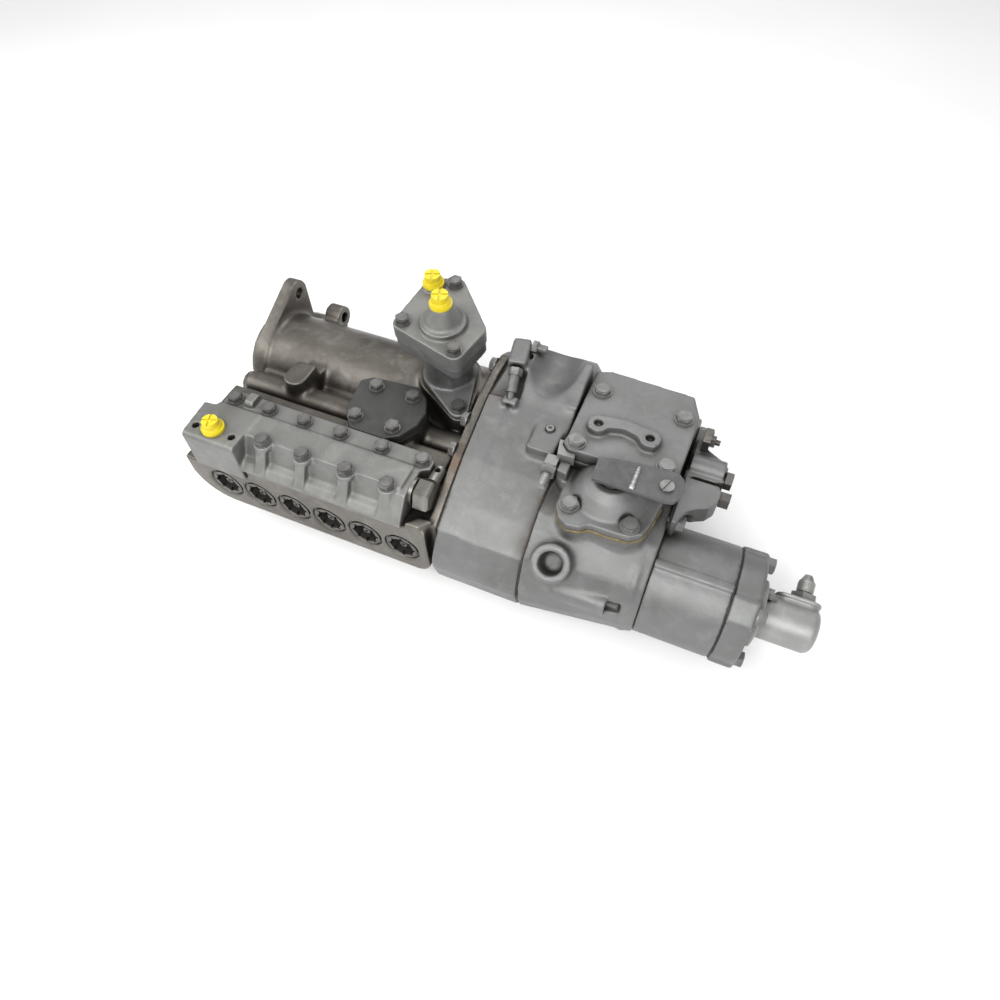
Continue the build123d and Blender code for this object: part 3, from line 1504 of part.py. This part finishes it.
for k, sgn in ((1, 1), (2, -1)):
    with BuildPart() as flyweight:
        with BuildSketch(top(-9, FW_X, sgn * FW_Y)):
            Circle(4.6)
        extrude(amount=18)
        with BuildSketch(top(-9, FW_X, sgn * FW_Y)):
            with BuildLine():
                Polyline((-2.5, -sgn * 9.5), (-2.5, 0), (0, sgn * 4.4), (4, sgn * 5), (22, sgn * 5), (22, -sgn * 4.5), (4, -sgn * 4.5), (2, -sgn * 5.5), (1.9, -sgn * 9.5), close=True)
            make_face()
        extrude(amount=18)
        with BuildSketch(top(-10, FW_X, sgn * FW_Y)):
            Circle(FW_PIN + 0.04)
        extrude(amount=20, mode=Mode.SUBTRACT)
    save(f"flyweight_{k}", flyweight)

with BuildPart() as riser_sleeve:
    with BuildSketch(xplane(302.2)):
        Circle(15.5)
    extrude(amount=2.8)
    with BuildSketch(xplane(302.2)):
        Circle(13.5)
    extrude(amount=19.8)
    with BuildSketch(xplane(302)):
        Circle(11.04)
    extrude(amount=11, mode=Mode.SUBTRACT)
save("riser_sleeve", riser_sleeve)

spring_g = coil(10.5, 3.0, 6.2, 24.8)
with BuildPart() as governor_spring:
    with Locations(Location((327.2, 0, 0), (0, 90, 0))):
        add(spring_g)
save("governor_spring", governor_spring)

with BuildPart() as spring_seat_shaft:
    with BuildSketch(xplane(354.5)):
        Circle(14)
    extrude(amount=4)
    with BuildSketch(xplane(358.5)):
        Circle(5)
    extrude(amount=99)
save("spring_seat_shaft", spring_seat_shaft)

with BuildPart() as rack_link:
    with BuildSketch(top(RACK_Z + RACK_R)):
        with Locations((322, RACK_Y)):
            Circle(6)
        with Locations((334, -49)):
            Circle(5)
        make_hull()
    extrude(amount=3.5)
    with BuildSketch(top(RACK_Z - RACK_R, 322, RACK_Y)):
        Circle(2.5)
    extrude(amount=2 * RACK_R)
    with BuildSketch(top(RACK_Z - 2, 334, -49)):
        Circle(3)
    extrude(amount=RACK_R + 2)
save("rack_link", rack_link)
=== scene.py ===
import json
import math

import bmesh
import bpy
import numpy as np
from mathutils import Matrix, Vector, noise


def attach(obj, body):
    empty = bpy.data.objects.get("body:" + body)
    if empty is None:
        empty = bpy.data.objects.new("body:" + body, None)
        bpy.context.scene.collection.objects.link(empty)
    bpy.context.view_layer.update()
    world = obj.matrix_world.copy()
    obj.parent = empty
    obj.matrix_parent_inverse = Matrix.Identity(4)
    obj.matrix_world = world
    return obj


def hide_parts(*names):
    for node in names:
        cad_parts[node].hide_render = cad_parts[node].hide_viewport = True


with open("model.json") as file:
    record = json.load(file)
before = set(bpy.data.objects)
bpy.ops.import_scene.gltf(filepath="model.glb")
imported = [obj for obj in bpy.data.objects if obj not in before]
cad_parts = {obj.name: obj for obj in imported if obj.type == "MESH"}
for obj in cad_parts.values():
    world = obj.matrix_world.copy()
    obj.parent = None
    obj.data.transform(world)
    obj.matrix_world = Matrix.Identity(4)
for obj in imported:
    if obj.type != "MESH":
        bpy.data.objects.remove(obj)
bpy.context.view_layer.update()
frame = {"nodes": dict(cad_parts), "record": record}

N = frame["nodes"]
MM = 0.001
FLOOR_Z = -0.058

# ---------------------------------------------------------------------------
# camera and light
# ---------------------------------------------------------------------------
scene = bpy.context.scene
cam_data = bpy.data.cameras.new("camera")
cam_data.sensor_width = 36.0
cam_data.sensor_fit = "HORIZONTAL"
cam_data.lens = 0.687271 * 36.0
cam_data.clip_start = 0.01
cam_data.clip_end = 20
cam = bpy.data.objects.new("camera", cam_data)
scene.collection.objects.link(cam)
RIGHT = Vector((0.92031468, 0.39097605, -0.01259418))
DOWN = Vector((0.31138466, -0.75169265, -0.58137575))
FWD = Vector((-0.23677094, 0.531127, -0.81353772))
m = Matrix.Identity(4)
for i in range(3):
    m[i][0] = RIGHT[i]
    m[i][1] = -DOWN[i]
    m[i][2] = -FWD[i]
m[0][3], m[1][3], m[2][3] = 0.464988, -0.437601, 0.529060
cam.matrix_world = m
scene.camera = cam

scene.view_settings.view_transform = "Standard"
scene.view_settings.look = "None"

world = bpy.data.worlds.new("world")
scene.world = world
world.use_nodes = True
wn = world.node_tree.nodes
wl = world.node_tree.links
bg = wn["Background"]
tc = wn.new("ShaderNodeTexCoord")
sep = wn.new("ShaderNodeSeparateXYZ")
ramp = wn.new("ShaderNodeValToRGB")
wl.new(tc.outputs["Generated"], sep.inputs[0])
wl.new(sep.outputs["Z"], ramp.inputs[0])
ramp.color_ramp.elements[0].position = 0.0
ramp.color_ramp.elements[0].color = (0.55, 0.55, 0.55, 1)
ramp.color_ramp.elements[1].position = 0.85
ramp.color_ramp.elements[1].color = (1.0, 1.0, 1.0, 1)
wl.new(ramp.outputs[0], bg.inputs[0])
bg.inputs[1].default_value = 0.75


def area(name, loc, target, size, energy, color=(1, 1, 1)):
    d = bpy.data.lights.new(name, "AREA")
    d.shape = "RECTANGLE"
    d.size, d.size_y = size
    d.energy = energy
    d.color = color
    o = bpy.data.objects.new(name, d)
    scene.collection.objects.link(o)
    o.location = loc
    o.rotation_euler = (Vector(target) - Vector(loc)).to_track_quat("-Z", "Y").to_euler()
    return o


area("key", (0.25, -1.15, 1.25), (0.3, -0.05, 0), (1.2, 0.8), 20)
area("back", (0.15, 0.9, 1.5), (0.3, -0.05, 0), (1.2, 0.8), 9)
area("side", (-1.0, -0.5, 0.9), (0.3, -0.05, 0), (0.9, 0.7), 9)
area("fill", (1.2, -1.1, 0.9), (0.3, -0.05, 0), (0.9, 0.7), 6)


# ---------------------------------------------------------------------------
# materials
# ---------------------------------------------------------------------------
class Tree:
    """small helper round a material's node tree"""

    def __init__(self, name):
        self.mat = bpy.data.materials.new(name)
        self.mat.use_nodes = True
        self.n = self.mat.node_tree.nodes
        self.l = self.mat.node_tree.links
        self.bsdf = self.n["Principled BSDF"]
        self.pos = self.new("ShaderNodeTexCoord").outputs["Object"]

    def new(self, kind, **values):
        node = self.n.new(kind)
        for k, v in values.items():
            setattr(node, k, v)
        return node

    def put(self, socket, value):
        if hasattr(value, "is_output") or isinstance(value, bpy.types.NodeSocket):
            self.l.new(value, socket)
        else:
            socket.default_value = value

    def noise(self, scale, detail=4.0, rough=0.55, vector=None, distortion=0.0):
        n = self.new("ShaderNodeTexNoise")
        n.inputs["Scale"].default_value = scale
        n.inputs["Detail"].default_value = detail
        n.inputs["Roughness"].default_value = rough
        n.inputs["Distortion"].default_value = distortion
        self.l.new(vector or self.pos, n.inputs["Vector"])
        return n.outputs["Fac"]

    def voronoi(self, scale, feature="F1", vector=None):
        n = self.new("ShaderNodeTexVoronoi", feature=feature)
        n.inputs["Scale"].default_value = scale
        self.l.new(vector or self.pos, n.inputs["Vector"])
        return n.outputs["Distance"]

    def stretch(self, scale):
        n = self.new("ShaderNodeMapping")
        n.inputs["Scale"].default_value = scale
        self.l.new(self.pos, n.inputs["Vector"])
        return n.outputs[0]

    def math(self, op, a, b=0.0, clamp=False):
        n = self.new("ShaderNodeMath", operation=op, use_clamp=clamp)
        self.put(n.inputs[0], a)
        self.put(n.inputs[1], b)
        return n.outputs[0]

    def ramp(self, fac, lo, hi, a=0.0, b=1.0):
        n = self.new("ShaderNodeMapRange")
        n.clamp = True
        self.put(n.inputs["Value"], fac)
        n.inputs["From Min"].default_value = lo
        n.inputs["From Max"].default_value = hi
        n.inputs["To Min"].default_value = a
        n.inputs["To Max"].default_value = b
        return n.outputs[0]

    def mix(self, fac, a, b, blend="MIX"):
        n = self.new("ShaderNodeMix", data_type="RGBA", blend_type=blend)
        self.put(n.inputs["Factor"], fac)
        self.put(n.inputs[6], a if not isinstance(a, tuple) else (*a, 1.0))
        self.put(n.inputs[7], b if not isinstance(b, tuple) else (*b, 1.0))
        return n.outputs[2]

    def ball(self, centre, radius, soft=0.5):
        """1 inside a ball round a point of the frame (mm), fading out"""
        d = self.new("ShaderNodeVectorMath", operation="DISTANCE")
        self.l.new(self.pos, d.inputs[0])
        d.inputs[1].default_value = [c * MM for c in centre]
        return self.ramp(d.outputs["Value"], radius * MM * (1 - soft), radius * MM, 1.0, 0.0)

    def axis(self, which):
        s = self.new("ShaderNodeSeparateXYZ")
        self.l.new(self.pos, s.inputs[0])
        return s.outputs[which]

    def ao(self, distance, samples=6):
        n = self.new("ShaderNodeAmbientOcclusion", samples=samples)
        n.inputs["Distance"].default_value = distance
        return n.outputs["AO"]

    def bump(self, height, strength, distance, normal=None):
        n = self.new("ShaderNodeBump")
        n.inputs["Strength"].default_value = strength
        n.inputs["Distance"].default_value = distance
        self.put(n.inputs["Height"], height)
        if normal is not None:
            self.l.new(normal, n.inputs["Normal"])
        return n.outputs[0]

    def done(self, color, rough, metal, normal=None):
        self.put(self.bsdf.inputs["Base Color"], color)
        self.put(self.bsdf.inputs["Roughness"], rough)
        self.bsdf.inputs["Metallic"].default_value = metal
        if normal is not None:
            self.l.new(normal, self.bsdf.inputs["Normal"])
        return self.mat


def casting(name, base, dark, light, crevice_shade=0.5, grain=1.0, rough=0.48, metal=0.55, stains_and_shade=(), reach=0.012):
    """bead blasted casting: fine grain, soft cloudy tone, painted shade in the crevices, rubbed edges, darker or
    tinted patches round given points
    """
    t = Tree(name)
    cloud = t.noise(14, 5, 0.6)
    patch = t.noise(55, 4, 0.6, distortion=0.6)
    fine = t.noise(900, 3, 0.7)
    grit = t.noise(2600, 2, 0.6)
    col = t.mix(t.ramp(cloud, 0.35, 0.7), base, dark)
    col = t.mix(t.math("MULTIPLY", t.ramp(patch, 0.5, 0.72), 0.45), col, light)
    col = t.mix(t.math("MULTIPLY", t.ramp(fine, 0.35, 0.75), 0.22), col, dark)
    # painted shade: ambient occlusion darkens the crevices towards near-black, mottled by the patch noise
    occ = t.ao(reach)
    crev = t.ramp(occ, 0.35, 0.92, 1.0, 0.0)
    crev = t.math("MULTIPLY", crev, t.ramp(patch, 0.25, 0.7, 0.6, 1.15))
    col = t.mix(t.math("MULTIPLY", crev, crevice_shade, True), col, (0.028, 0.024, 0.02))
    g = t.new("ShaderNodeNewGeometry")
    edge = t.ramp(g.outputs["Pointiness"], 0.52, 0.60)
    col = t.mix(t.math("MULTIPLY", edge, 0.45), col, tuple(min(1.0, c * 1.35) for c in light))
    # darker or tinted patches round given points, mottled: rust, dark stains and, on the silver casting, painted
    # shade
    for centre, radius, tint, amount in stains_and_shade:
        s = t.math("MULTIPLY", t.ball(centre, radius, 0.8), t.ramp(patch, 0.35, 0.62))
        col = t.mix(t.math("MULTIPLY", s, amount), col, tint)
    r = t.ramp(patch, 0.3, 0.7, rough - 0.06, rough + 0.08)
    h = t.math("ADD", t.math("MULTIPLY", fine, 1.0), t.math("MULTIPLY", grit, 0.45))
    b = t.bump(h, 0.35 * grain, 0.0004)
    b = t.bump(t.noise(160, 3, 0.5), 0.16 * grain, 0.0012, b)
    return t.done(col, r, metal, b)


def steel(name, base, dark, rough=0.36, metal=0.9, line=0.4, crevice_shade=0.4, rust=0.0):
    """machined or blasted steel: tool marks, tone changes, painted shade where parts meet"""
    t = Tree(name)
    patch = t.noise(120, 4, 0.6, distortion=0.4)
    fine = t.noise(1800, 3, 0.65)
    marks = t.noise(900, 2, 0.5, t.stretch((0.05, 1.0, 1.0)))
    col = t.mix(t.ramp(patch, 0.35, 0.7), base, dark)
    col = t.mix(t.math("MULTIPLY", t.ramp(fine, 0.4, 0.75), 0.3), col, dark)
    if rust:
        col = t.mix(t.math("MULTIPLY", t.ramp(t.noise(260, 4, 0.7), 0.56, 0.7), rust), col, (0.12, 0.055, 0.025))
    # painted shade: ambient occlusion darkens where parts meet
    occ = t.ao(0.005)
    crev = t.ramp(occ, 0.35, 0.9, 1.0, 0.0)
    col = t.mix(t.math("MULTIPLY", crev, crevice_shade, True), col, (0.02, 0.018, 0.015))
    g = t.new("ShaderNodeNewGeometry")
    edge = t.ramp(g.outputs["Pointiness"], 0.515, 0.58)
    col = t.mix(t.math("MULTIPLY", edge, 0.5), col, tuple(min(1.0, c * 1.5) for c in base))
    r = t.ramp(patch, 0.3, 0.7, rough - 0.08, rough + 0.1)
    h = t.math("ADD", fine, t.math("MULTIPLY", marks, line))
    return t.done(col, r, metal, t.bump(h, 0.22, 0.0002))


def plastic(name, base, dark, rough=0.42):
    t = Tree(name)
    patch = t.noise(180, 4, 0.6)
    fine = t.noise(2400, 3, 0.6)
    col = t.mix(t.ramp(patch, 0.35, 0.7), base, dark)
    # painted shade: ambient occlusion darkens the crevices
    col = t.mix(t.ramp(t.ao(0.004), 0.3, 0.9, 0.5, 0.0), col, tuple(c * 0.45 for c in dark))
    t.bsdf.inputs["Subsurface Weight"].default_value = 0.12
    t.bsdf.inputs["Subsurface Radius"].default_value = (0.004, 0.003, 0.001)
    return t.done(col, t.ramp(patch, 0.3, 0.7, rough - 0.06, rough + 0.08), 0.0, t.bump(fine, 0.12, 0.0002))


RUST = (0.10, 0.045, 0.02)
M_PUMP = casting("pump_casting", (0.185, 0.172, 0.152), (0.085, 0.076, 0.066), (0.30, 0.285, 0.26), crevice_shade=1.0, rough=0.38, metal=0.8, reach=0.024,
                 stains_and_shade=[((281, -115, 62), 26, RUST, 0.6), ((268, -30, 80), 34, (0.02, 0.018, 0.016), 0.9), ((60, -110, 45), 40, (0.06, 0.05, 0.04), 0.5),
                         ((225, -45, 45), 40, (0.04, 0.035, 0.03), 0.7), ((50, -40, 40), 40, (0.06, 0.05, 0.04), 0.6), ((120, -80, 36), 50, (0.05, 0.042, 0.034), 0.6)])
# the three neutral grey balls at (335, -12, 84), (338, -30, 92) and (302, -20, 88) are painted shade in the governor
# scoop and the recess beside it
M_SILVER = casting("silver_casting", (0.176, 0.18, 0.176), (0.125, 0.127, 0.123), (0.25, 0.254, 0.248), crevice_shade=1.0, rough=0.46,
                   stains_and_shade=[((288, -52, 92), 16, RUST, 0.45), ((300, -35, 92), 22, (0.03, 0.026, 0.02), 0.8), ((364, -120, 66), 16, (0.05, 0.035, 0.025), 0.7),
                           ((364, -150, 40), 22, (0.06, 0.04, 0.03), 0.6), ((470, -60, 60), 20, (0.04, 0.036, 0.03), 0.6), ((283, -110, 66), 14, RUST, 0.35),
                           ((335, -12, 84), 46, (0.085, 0.087, 0.085), 0.7), ((338, -30, 92), 26, (0.075, 0.076, 0.074), 0.6), ((302, -20, 88), 16, (0.05, 0.05, 0.048), 0.7)])
M_CAP = casting("cap_casting", (0.33, 0.336, 0.325), (0.23, 0.23, 0.222), (0.43, 0.436, 0.422), crevice_shade=1.0, rough=0.45)
M_MANIFOLD = casting("manifold_casting", (0.225, 0.225, 0.215), (0.155, 0.155, 0.147), (0.32, 0.32, 0.31), crevice_shade=0.9,
                     stains_and_shade=[((262, -125, 52), 20, (0.08, 0.06, 0.035), 0.6), ((60, -135, 62), 20, (0.07, 0.06, 0.045), 0.5)])
M_GREY = casting("grey_casting", (0.185, 0.19, 0.187), (0.135, 0.137, 0.135), (0.26, 0.265, 0.26), crevice_shade=0.9,
                 stains_and_shade=[((221, -30, 70), 24, (0.03, 0.027, 0.022), 0.7)])
M_DARK = casting("dark_casting", (0.068, 0.068, 0.067), (0.042, 0.041, 0.04), (0.11, 0.11, 0.108), crevice_shade=0.6, rough=0.5, metal=0.5)
M_BOLT = steel("bolt_steel", (0.17, 0.168, 0.163), (0.09, 0.088, 0.085), rough=0.42, metal=0.75)
M_BOLT_GREY = steel("bolt_grey", (0.185, 0.185, 0.182), (0.12, 0.12, 0.117), rough=0.48, metal=0.55)
M_MACH = steel("machined_steel", (0.40, 0.395, 0.39), (0.26, 0.255, 0.25), rough=0.3, metal=0.95)
M_DKSTEEL = steel("dark_steel", (0.10, 0.095, 0.088), (0.05, 0.046, 0.042), rough=0.38, metal=0.85, rust=0.4)
M_SPRING = steel("spring_steel", (0.22, 0.22, 0.22), (0.12, 0.12, 0.12), rough=0.35, metal=0.95)
M_LEVER = steel("lever_steel", (0.086, 0.086, 0.086), (0.064, 0.064, 0.064), rough=0.58, metal=0.45, line=0.1, crevice_shade=0.25)
M_ZINC = steel("zinc_plate", (0.30, 0.30, 0.285), (0.20, 0.20, 0.19), rough=0.38, metal=0.7, crevice_shade=0.5)
M_WELD = steel("weld_metal", (0.42, 0.42, 0.41), (0.24, 0.24, 0.235), rough=0.42, metal=0.75, crevice_shade=0.5)
M_BRONZE = steel("bronze", (0.45, 0.29, 0.13), (0.28, 0.18, 0.08), rough=0.4, metal=0.95)
M_FITTING = steel("fitting_steel", (0.21, 0.205, 0.185), (0.13, 0.125, 0.11), rough=0.36, metal=0.85, crevice_shade=0.7)
M_RUBBER = plastic("rubber_seal", (0.022, 0.022, 0.022), (0.012, 0.012, 0.012), 0.6)
M_GASKET = plastic("gasket_sheet", (0.055, 0.036, 0.026), (0.02, 0.016, 0.013), 0.7)
M_YELLOW = plastic("yellow_plastic", (0.74, 0.60, 0.02), (0.62, 0.49, 0.015), 0.4)
M_SEALANT = plastic("sealant", (0.17, 0.13, 0.045), (0.08, 0.058, 0.02), 0.3)

MATS = {
    "pump_casting": M_PUMP, "pump_casting_grey": M_GREY, "silver_casting": M_SILVER, "dark_steel": M_DKSTEEL,
    "bolt_steel": M_BOLT, "machined_steel": M_MACH, "spring_steel": M_SPRING, "lever_steel": M_LEVER,
    "zinc_plate": M_ZINC, "bronze": M_BRONZE, "rubber_seal": M_RUBBER, "gasket_sheet": M_GASKET,
    "yellow_plastic": M_YELLOW,
}
SLOT = {s["node"]: s["material_slot"] for s in frame["record"]["subparts"]}
for name, o in N.items():
    o.data.materials.clear()
    o.data.materials.append(MATS[SLOT[name]])
for name, mat in (("fuel_manifold", M_MANIFOLD), ("transfer_pump_cover", M_MANIFOLD), ("access_cover", M_DARK), ("governor_cover_bolts", M_BOLT_GREY),
                  ("ratio_control_bolts", M_BOLT_GREY), ("stop_bracket", M_SILVER), ("end_cap", M_CAP), ("lever_screw", M_BOLT), ("housing_screws", M_BOLT_GREY), ("manifold_fitting", M_FITTING), ("valve_holders", M_DKSTEEL), ("outlet_retainers", M_DKSTEEL)):
    N[name].data.materials.clear()
    N[name].data.materials.append(mat)


# ---------------------------------------------------------------------------
# castings: the node's own shape, with cast corner radii
# ---------------------------------------------------------------------------
def collect(node):
    bm = bmesh.new()
    bm.from_mesh(N[node].data)
    bmesh.ops.remove_doubles(bm, verts=bm.verts, dist=1e-6)
    return bm


def new_object(name, mesh):
    o = bpy.data.objects.new(name, mesh)
    scene.collection.objects.link(o)
    return o


def baked(o):
    dg = bpy.context.evaluated_depsgraph_get()
    me = bpy.data.meshes.new_from_object(o.evaluated_get(dg))
    o.modifiers.clear()
    o.data = me
    return o


def fill_corners(me, rounds, normal_rounds, locks):
    """rolls a radius into the inner corners of a casting: points move outwards
    only, and stay put inside the locked balls (centre mm, radius mm)"""
    n = len(me.vertices)
    co = np.empty(n * 3, dtype=np.float64)
    me.vertices.foreach_get("co", co)
    co = co.reshape(n, 3)
    ed = np.empty(len(me.edges) * 2, dtype=np.int64)
    me.edges.foreach_get("vertices", ed)
    a, b = ed[0::2], ed[1::2]
    deg = np.bincount(a, minlength=n) + np.bincount(b, minlength=n)
    deg = np.maximum(deg, 1)[:, None]
    free = np.ones(n, dtype=bool)
    for c, rad in locks:
        free &= np.linalg.norm(co / MM - np.array(c), axis=1) > rad
    nm = np.empty(n * 3, dtype=np.float32)
    for k in range(rounds + normal_rounds):
        if k % 5 == 0:
            me.vertices.foreach_set("co", co.ravel())
            me.update()
            me.vertex_normals.foreach_get("vector", nm)
            nv = nm.reshape(n, 3).astype(np.float64)
        avg = np.empty_like(co)
        for i in range(3):
            avg[:, i] = np.bincount(a, weights=co[b, i], minlength=n) + np.bincount(b, weights=co[a, i], minlength=n)
        d = avg / deg - co
        if k < rounds:
            keep = ((d * nv).sum(axis=1) > 0) & free
            co[keep] += d[keep] * 0.9
        else:
            co += d * 0.5
    me.vertices.foreach_set("co", co.ravel())
    me.update()


def cast_piece(node, voxel=1.2, fill=10, smooth=4, locks=(), extra=None, name=None, mat=None, body="root"):
    bm = collect(node)
    if extra:
        extra(bm)
    me = bpy.data.meshes.new(node + "_cast")
    bm.to_mesh(me)
    bm.free()
    o = new_object(name or node + "_cast", me)
    r = o.modifiers.new("r", "REMESH")
    r.mode = "VOXEL"
    r.voxel_size = voxel * MM * 1.0
    r.use_smooth_shade = True
    baked(o)
    fill_corners(o.data, fill, smooth, locks)
    o.data.materials.clear()
    o.data.materials.append(mat or N[node].data.materials[0])
    for p in o.data.polygons:
        p.use_smooth = True
    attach(o, body)
    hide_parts(node)
    return o


OUTLETS = [((59.0 + 38.1 * i, -173, 0), 24) for i in range(6)]
cast_piece("pump_housing", 1.2, 22, 3, OUTLETS + [((15, 38.2, 59), 11), ((15, 64, -7), 11), ((15, -55, -38), 16), ((4, 0, 0), 40), ((51, 56, 25), 11)])
cast_piece("fuel_manifold", 0.95, 8, 3, [((61.8, -162, 66), 11), ((43.5, -164, 66), 6), ((82.3, -164, 66), 6)])
cast_piece("governor_housing_center", 1.2, 18, 5)
cast_piece("governor_housing_rear", 1.2, 18, 5, [((388, -172, 56), 17), ((438, -168, 18), 12)])
cast_piece("governor_top_cover", 0.9, 10, 4, [((386.5, -60, 108), 7), ((430, -60, 108), 7)])
cast_piece("governor_front_cover", 0.9, 10, 4)
cast_piece("transfer_pump_body", 1.0, 14, 4)
cast_piece("transfer_pump_cover", 0.9, 12, 4)
cast_piece("setting_cover", 0.8, 8, 4)
cast_piece("ratio_control_body", 1.2, 4, 3)
cast_piece("ratio_control_cover", 1.1, 6, 4)
cast_piece("end_cap", 0.8, 8, 4)
cast_piece("access_cover", 0.8, 0, 2, mat=M_DARK)

# small rounded edges on the visible hard parts
for name in ("housing_bolts", "governor_cover_bolts", "ratio_control_bolts", "housing_joint_bolts", "housing_screws", "manifold_fitting",
             "port_caps", "throttle_lever", "lever_screw", "stop_bracket", "stop_screw", "setting_adjusters", "end_cap_bolts", "air_fitting",
             "outlet_retainers", "valve_holders"):
    if name not in N:
        continue
    bv = N[name].modifiers.new("edge", "BEVEL")
    bv.width = 0.45 * MM
    bv.segments = 2
    bv.limit_method = "ANGLE"
    bv.angle_limit = math.radians(35)


# ---------------------------------------------------------------------------
# details
# ---------------------------------------------------------------------------
def tube(name, path, radii, mat, body="root", sides=10):
    """a bead or ridge along a path of points (mm), its radius changing on the way"""
    bm = bmesh.new()
    pts = [Vector(q) * MM for q in path]
    rings = []
    up = Vector((0.13, 0.21, 0.97)).normalized()
    for i, q in enumerate(pts):
        d = (pts[min(i + 1, len(pts) - 1)] - pts[max(i - 1, 0)]).normalized()
        u = d.cross(up).normalized()
        v = d.cross(u).normalized()
        rings.append([bm.verts.new(q + (u * math.cos(2 * math.pi * k / sides) + v * math.sin(2 * math.pi * k / sides)) * radii[i] * MM) for k in range(sides)])
    for r0, r1 in zip(rings[:-1], rings[1:]):
        for k in range(sides):
            bm.faces.new((r0[k], r0[(k + 1) % sides], r1[(k + 1) % sides], r1[k]))
    bm.faces.new(list(reversed(rings[0])))
    bm.faces.new(rings[-1])
    bmesh.ops.recalc_face_normals(bm, faces=bm.faces)
    me = bpy.data.meshes.new(name)
    bm.to_mesh(me)
    bm.free()
    for p in me.polygons:
        p.use_smooth = True
    o = new_object(name, me)
    me.materials.append(mat)
    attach(o, body)
    return o


def resample(path, step):
    out = []
    for p, q in zip(path[:-1], path[1:]):
        p, q = Vector(p), Vector(q)
        k = max(1, int((q - p).length / step))
        out += [p.lerp(q, i / k) for i in range(k)]
    return out + [Vector(path[-1])]


# sealing compound squeezed out under the front cover
SEAM = [(376.6, -112), (376.9, -130), (382.2, -139.6), (391, -145.0), (401, -143.6), (407.2, -138.7), (430, -138.8), (440, -137.6), (448.6, -131.8), (451.7, -122), (455.4, -97)]
path = resample([(x, y, 70.6) for x, y in SEAM], 1.6)
wob = [noise.noise(Vector((q.x * 0.11, q.y * 0.13, 3.1))) for q in path]
tube("seal_bead", [(q.x, q.y, q.z + w * 0.8) for q, w in zip(path, wob)], [1.35 + 0.9 * w + 0.3 * noise.noise(q * 0.6) for q, w in zip(path, wob)], M_SEALANT)


# weld across the lever plate, wider at the front
path = resample([(430.5, -93.2, 109.2), (430.5, -116.8, 109.2)], 0.8)
tube("lever_weld", path, [(1.75 + 0.7 * i / len(path) + 0.4 * noise.noise(Vector((i * 0.9, 2.0, 0.5)))) * min(1.0, 0.6 + i / 4, 0.6 + (len(path) - 1 - i) / 4)
                          for i in range(len(path))], M_WELD, "throttle", 12)


def thread(name, origin, axis, radius, length, pitch, mat, wire=0.42):
    ax = Vector(axis).normalized()
    u = ax.cross(Vector((0.3, 0.1, 0.95))).normalized()
    v = ax.cross(u)
    turns = length / pitch
    steps = int(turns * 28)
    pts = []
    rad = []
    for i in range(steps + 1):
        a = 2 * math.pi * i / 28
        pts.append(Vector(origin) + ax * (length * i / steps) + (u * math.cos(a) + v * math.sin(a)) * radius)
        rad.append(wire * min(1.0, 0.2 + i / 14, 0.2 + (steps - i) / 14))
    return tube(name, pts, rad, mat, sides=6)


ED = (0, math.cos(math.radians(15)), math.sin(math.radians(15)))
thread("air_fitting_thread", (588, -119 + ED[1] * 30.6, 3 + ED[2] * 30.6), ED, 6.55, 8.6, 1.6, M_ZINC, 0.5)
thread("stop_screw_thread", (361.0, -111.4, 86.5), (0, -1, 0), 3.45, 12, 1.25, M_ZINC, 0.38)

# ---------------------------------------------------------------------------
# floor
# ---------------------------------------------------------------------------
fm = Tree("floor")
fcol = fm.mix(fm.ramp(fm.noise(3, 3, 0.5), 0.3, 0.7), (0.90, 0.90, 0.90), (0.87, 0.87, 0.87))
fm.done(fcol, 0.8, 0.0, fm.bump(fm.noise(400, 2, 0.5), 0.03, 0.0005))
bm = bmesh.new()
bmesh.ops.create_grid(bm, x_segments=2, y_segments=2, size=6)
me = bpy.data.meshes.new("floor")
bm.to_mesh(me)
bm.free()
floor = new_object("floor", me)
floor.location = (0.3, 0, FLOOR_Z - 0.0002)
floor.data.materials.append(fm.mat)
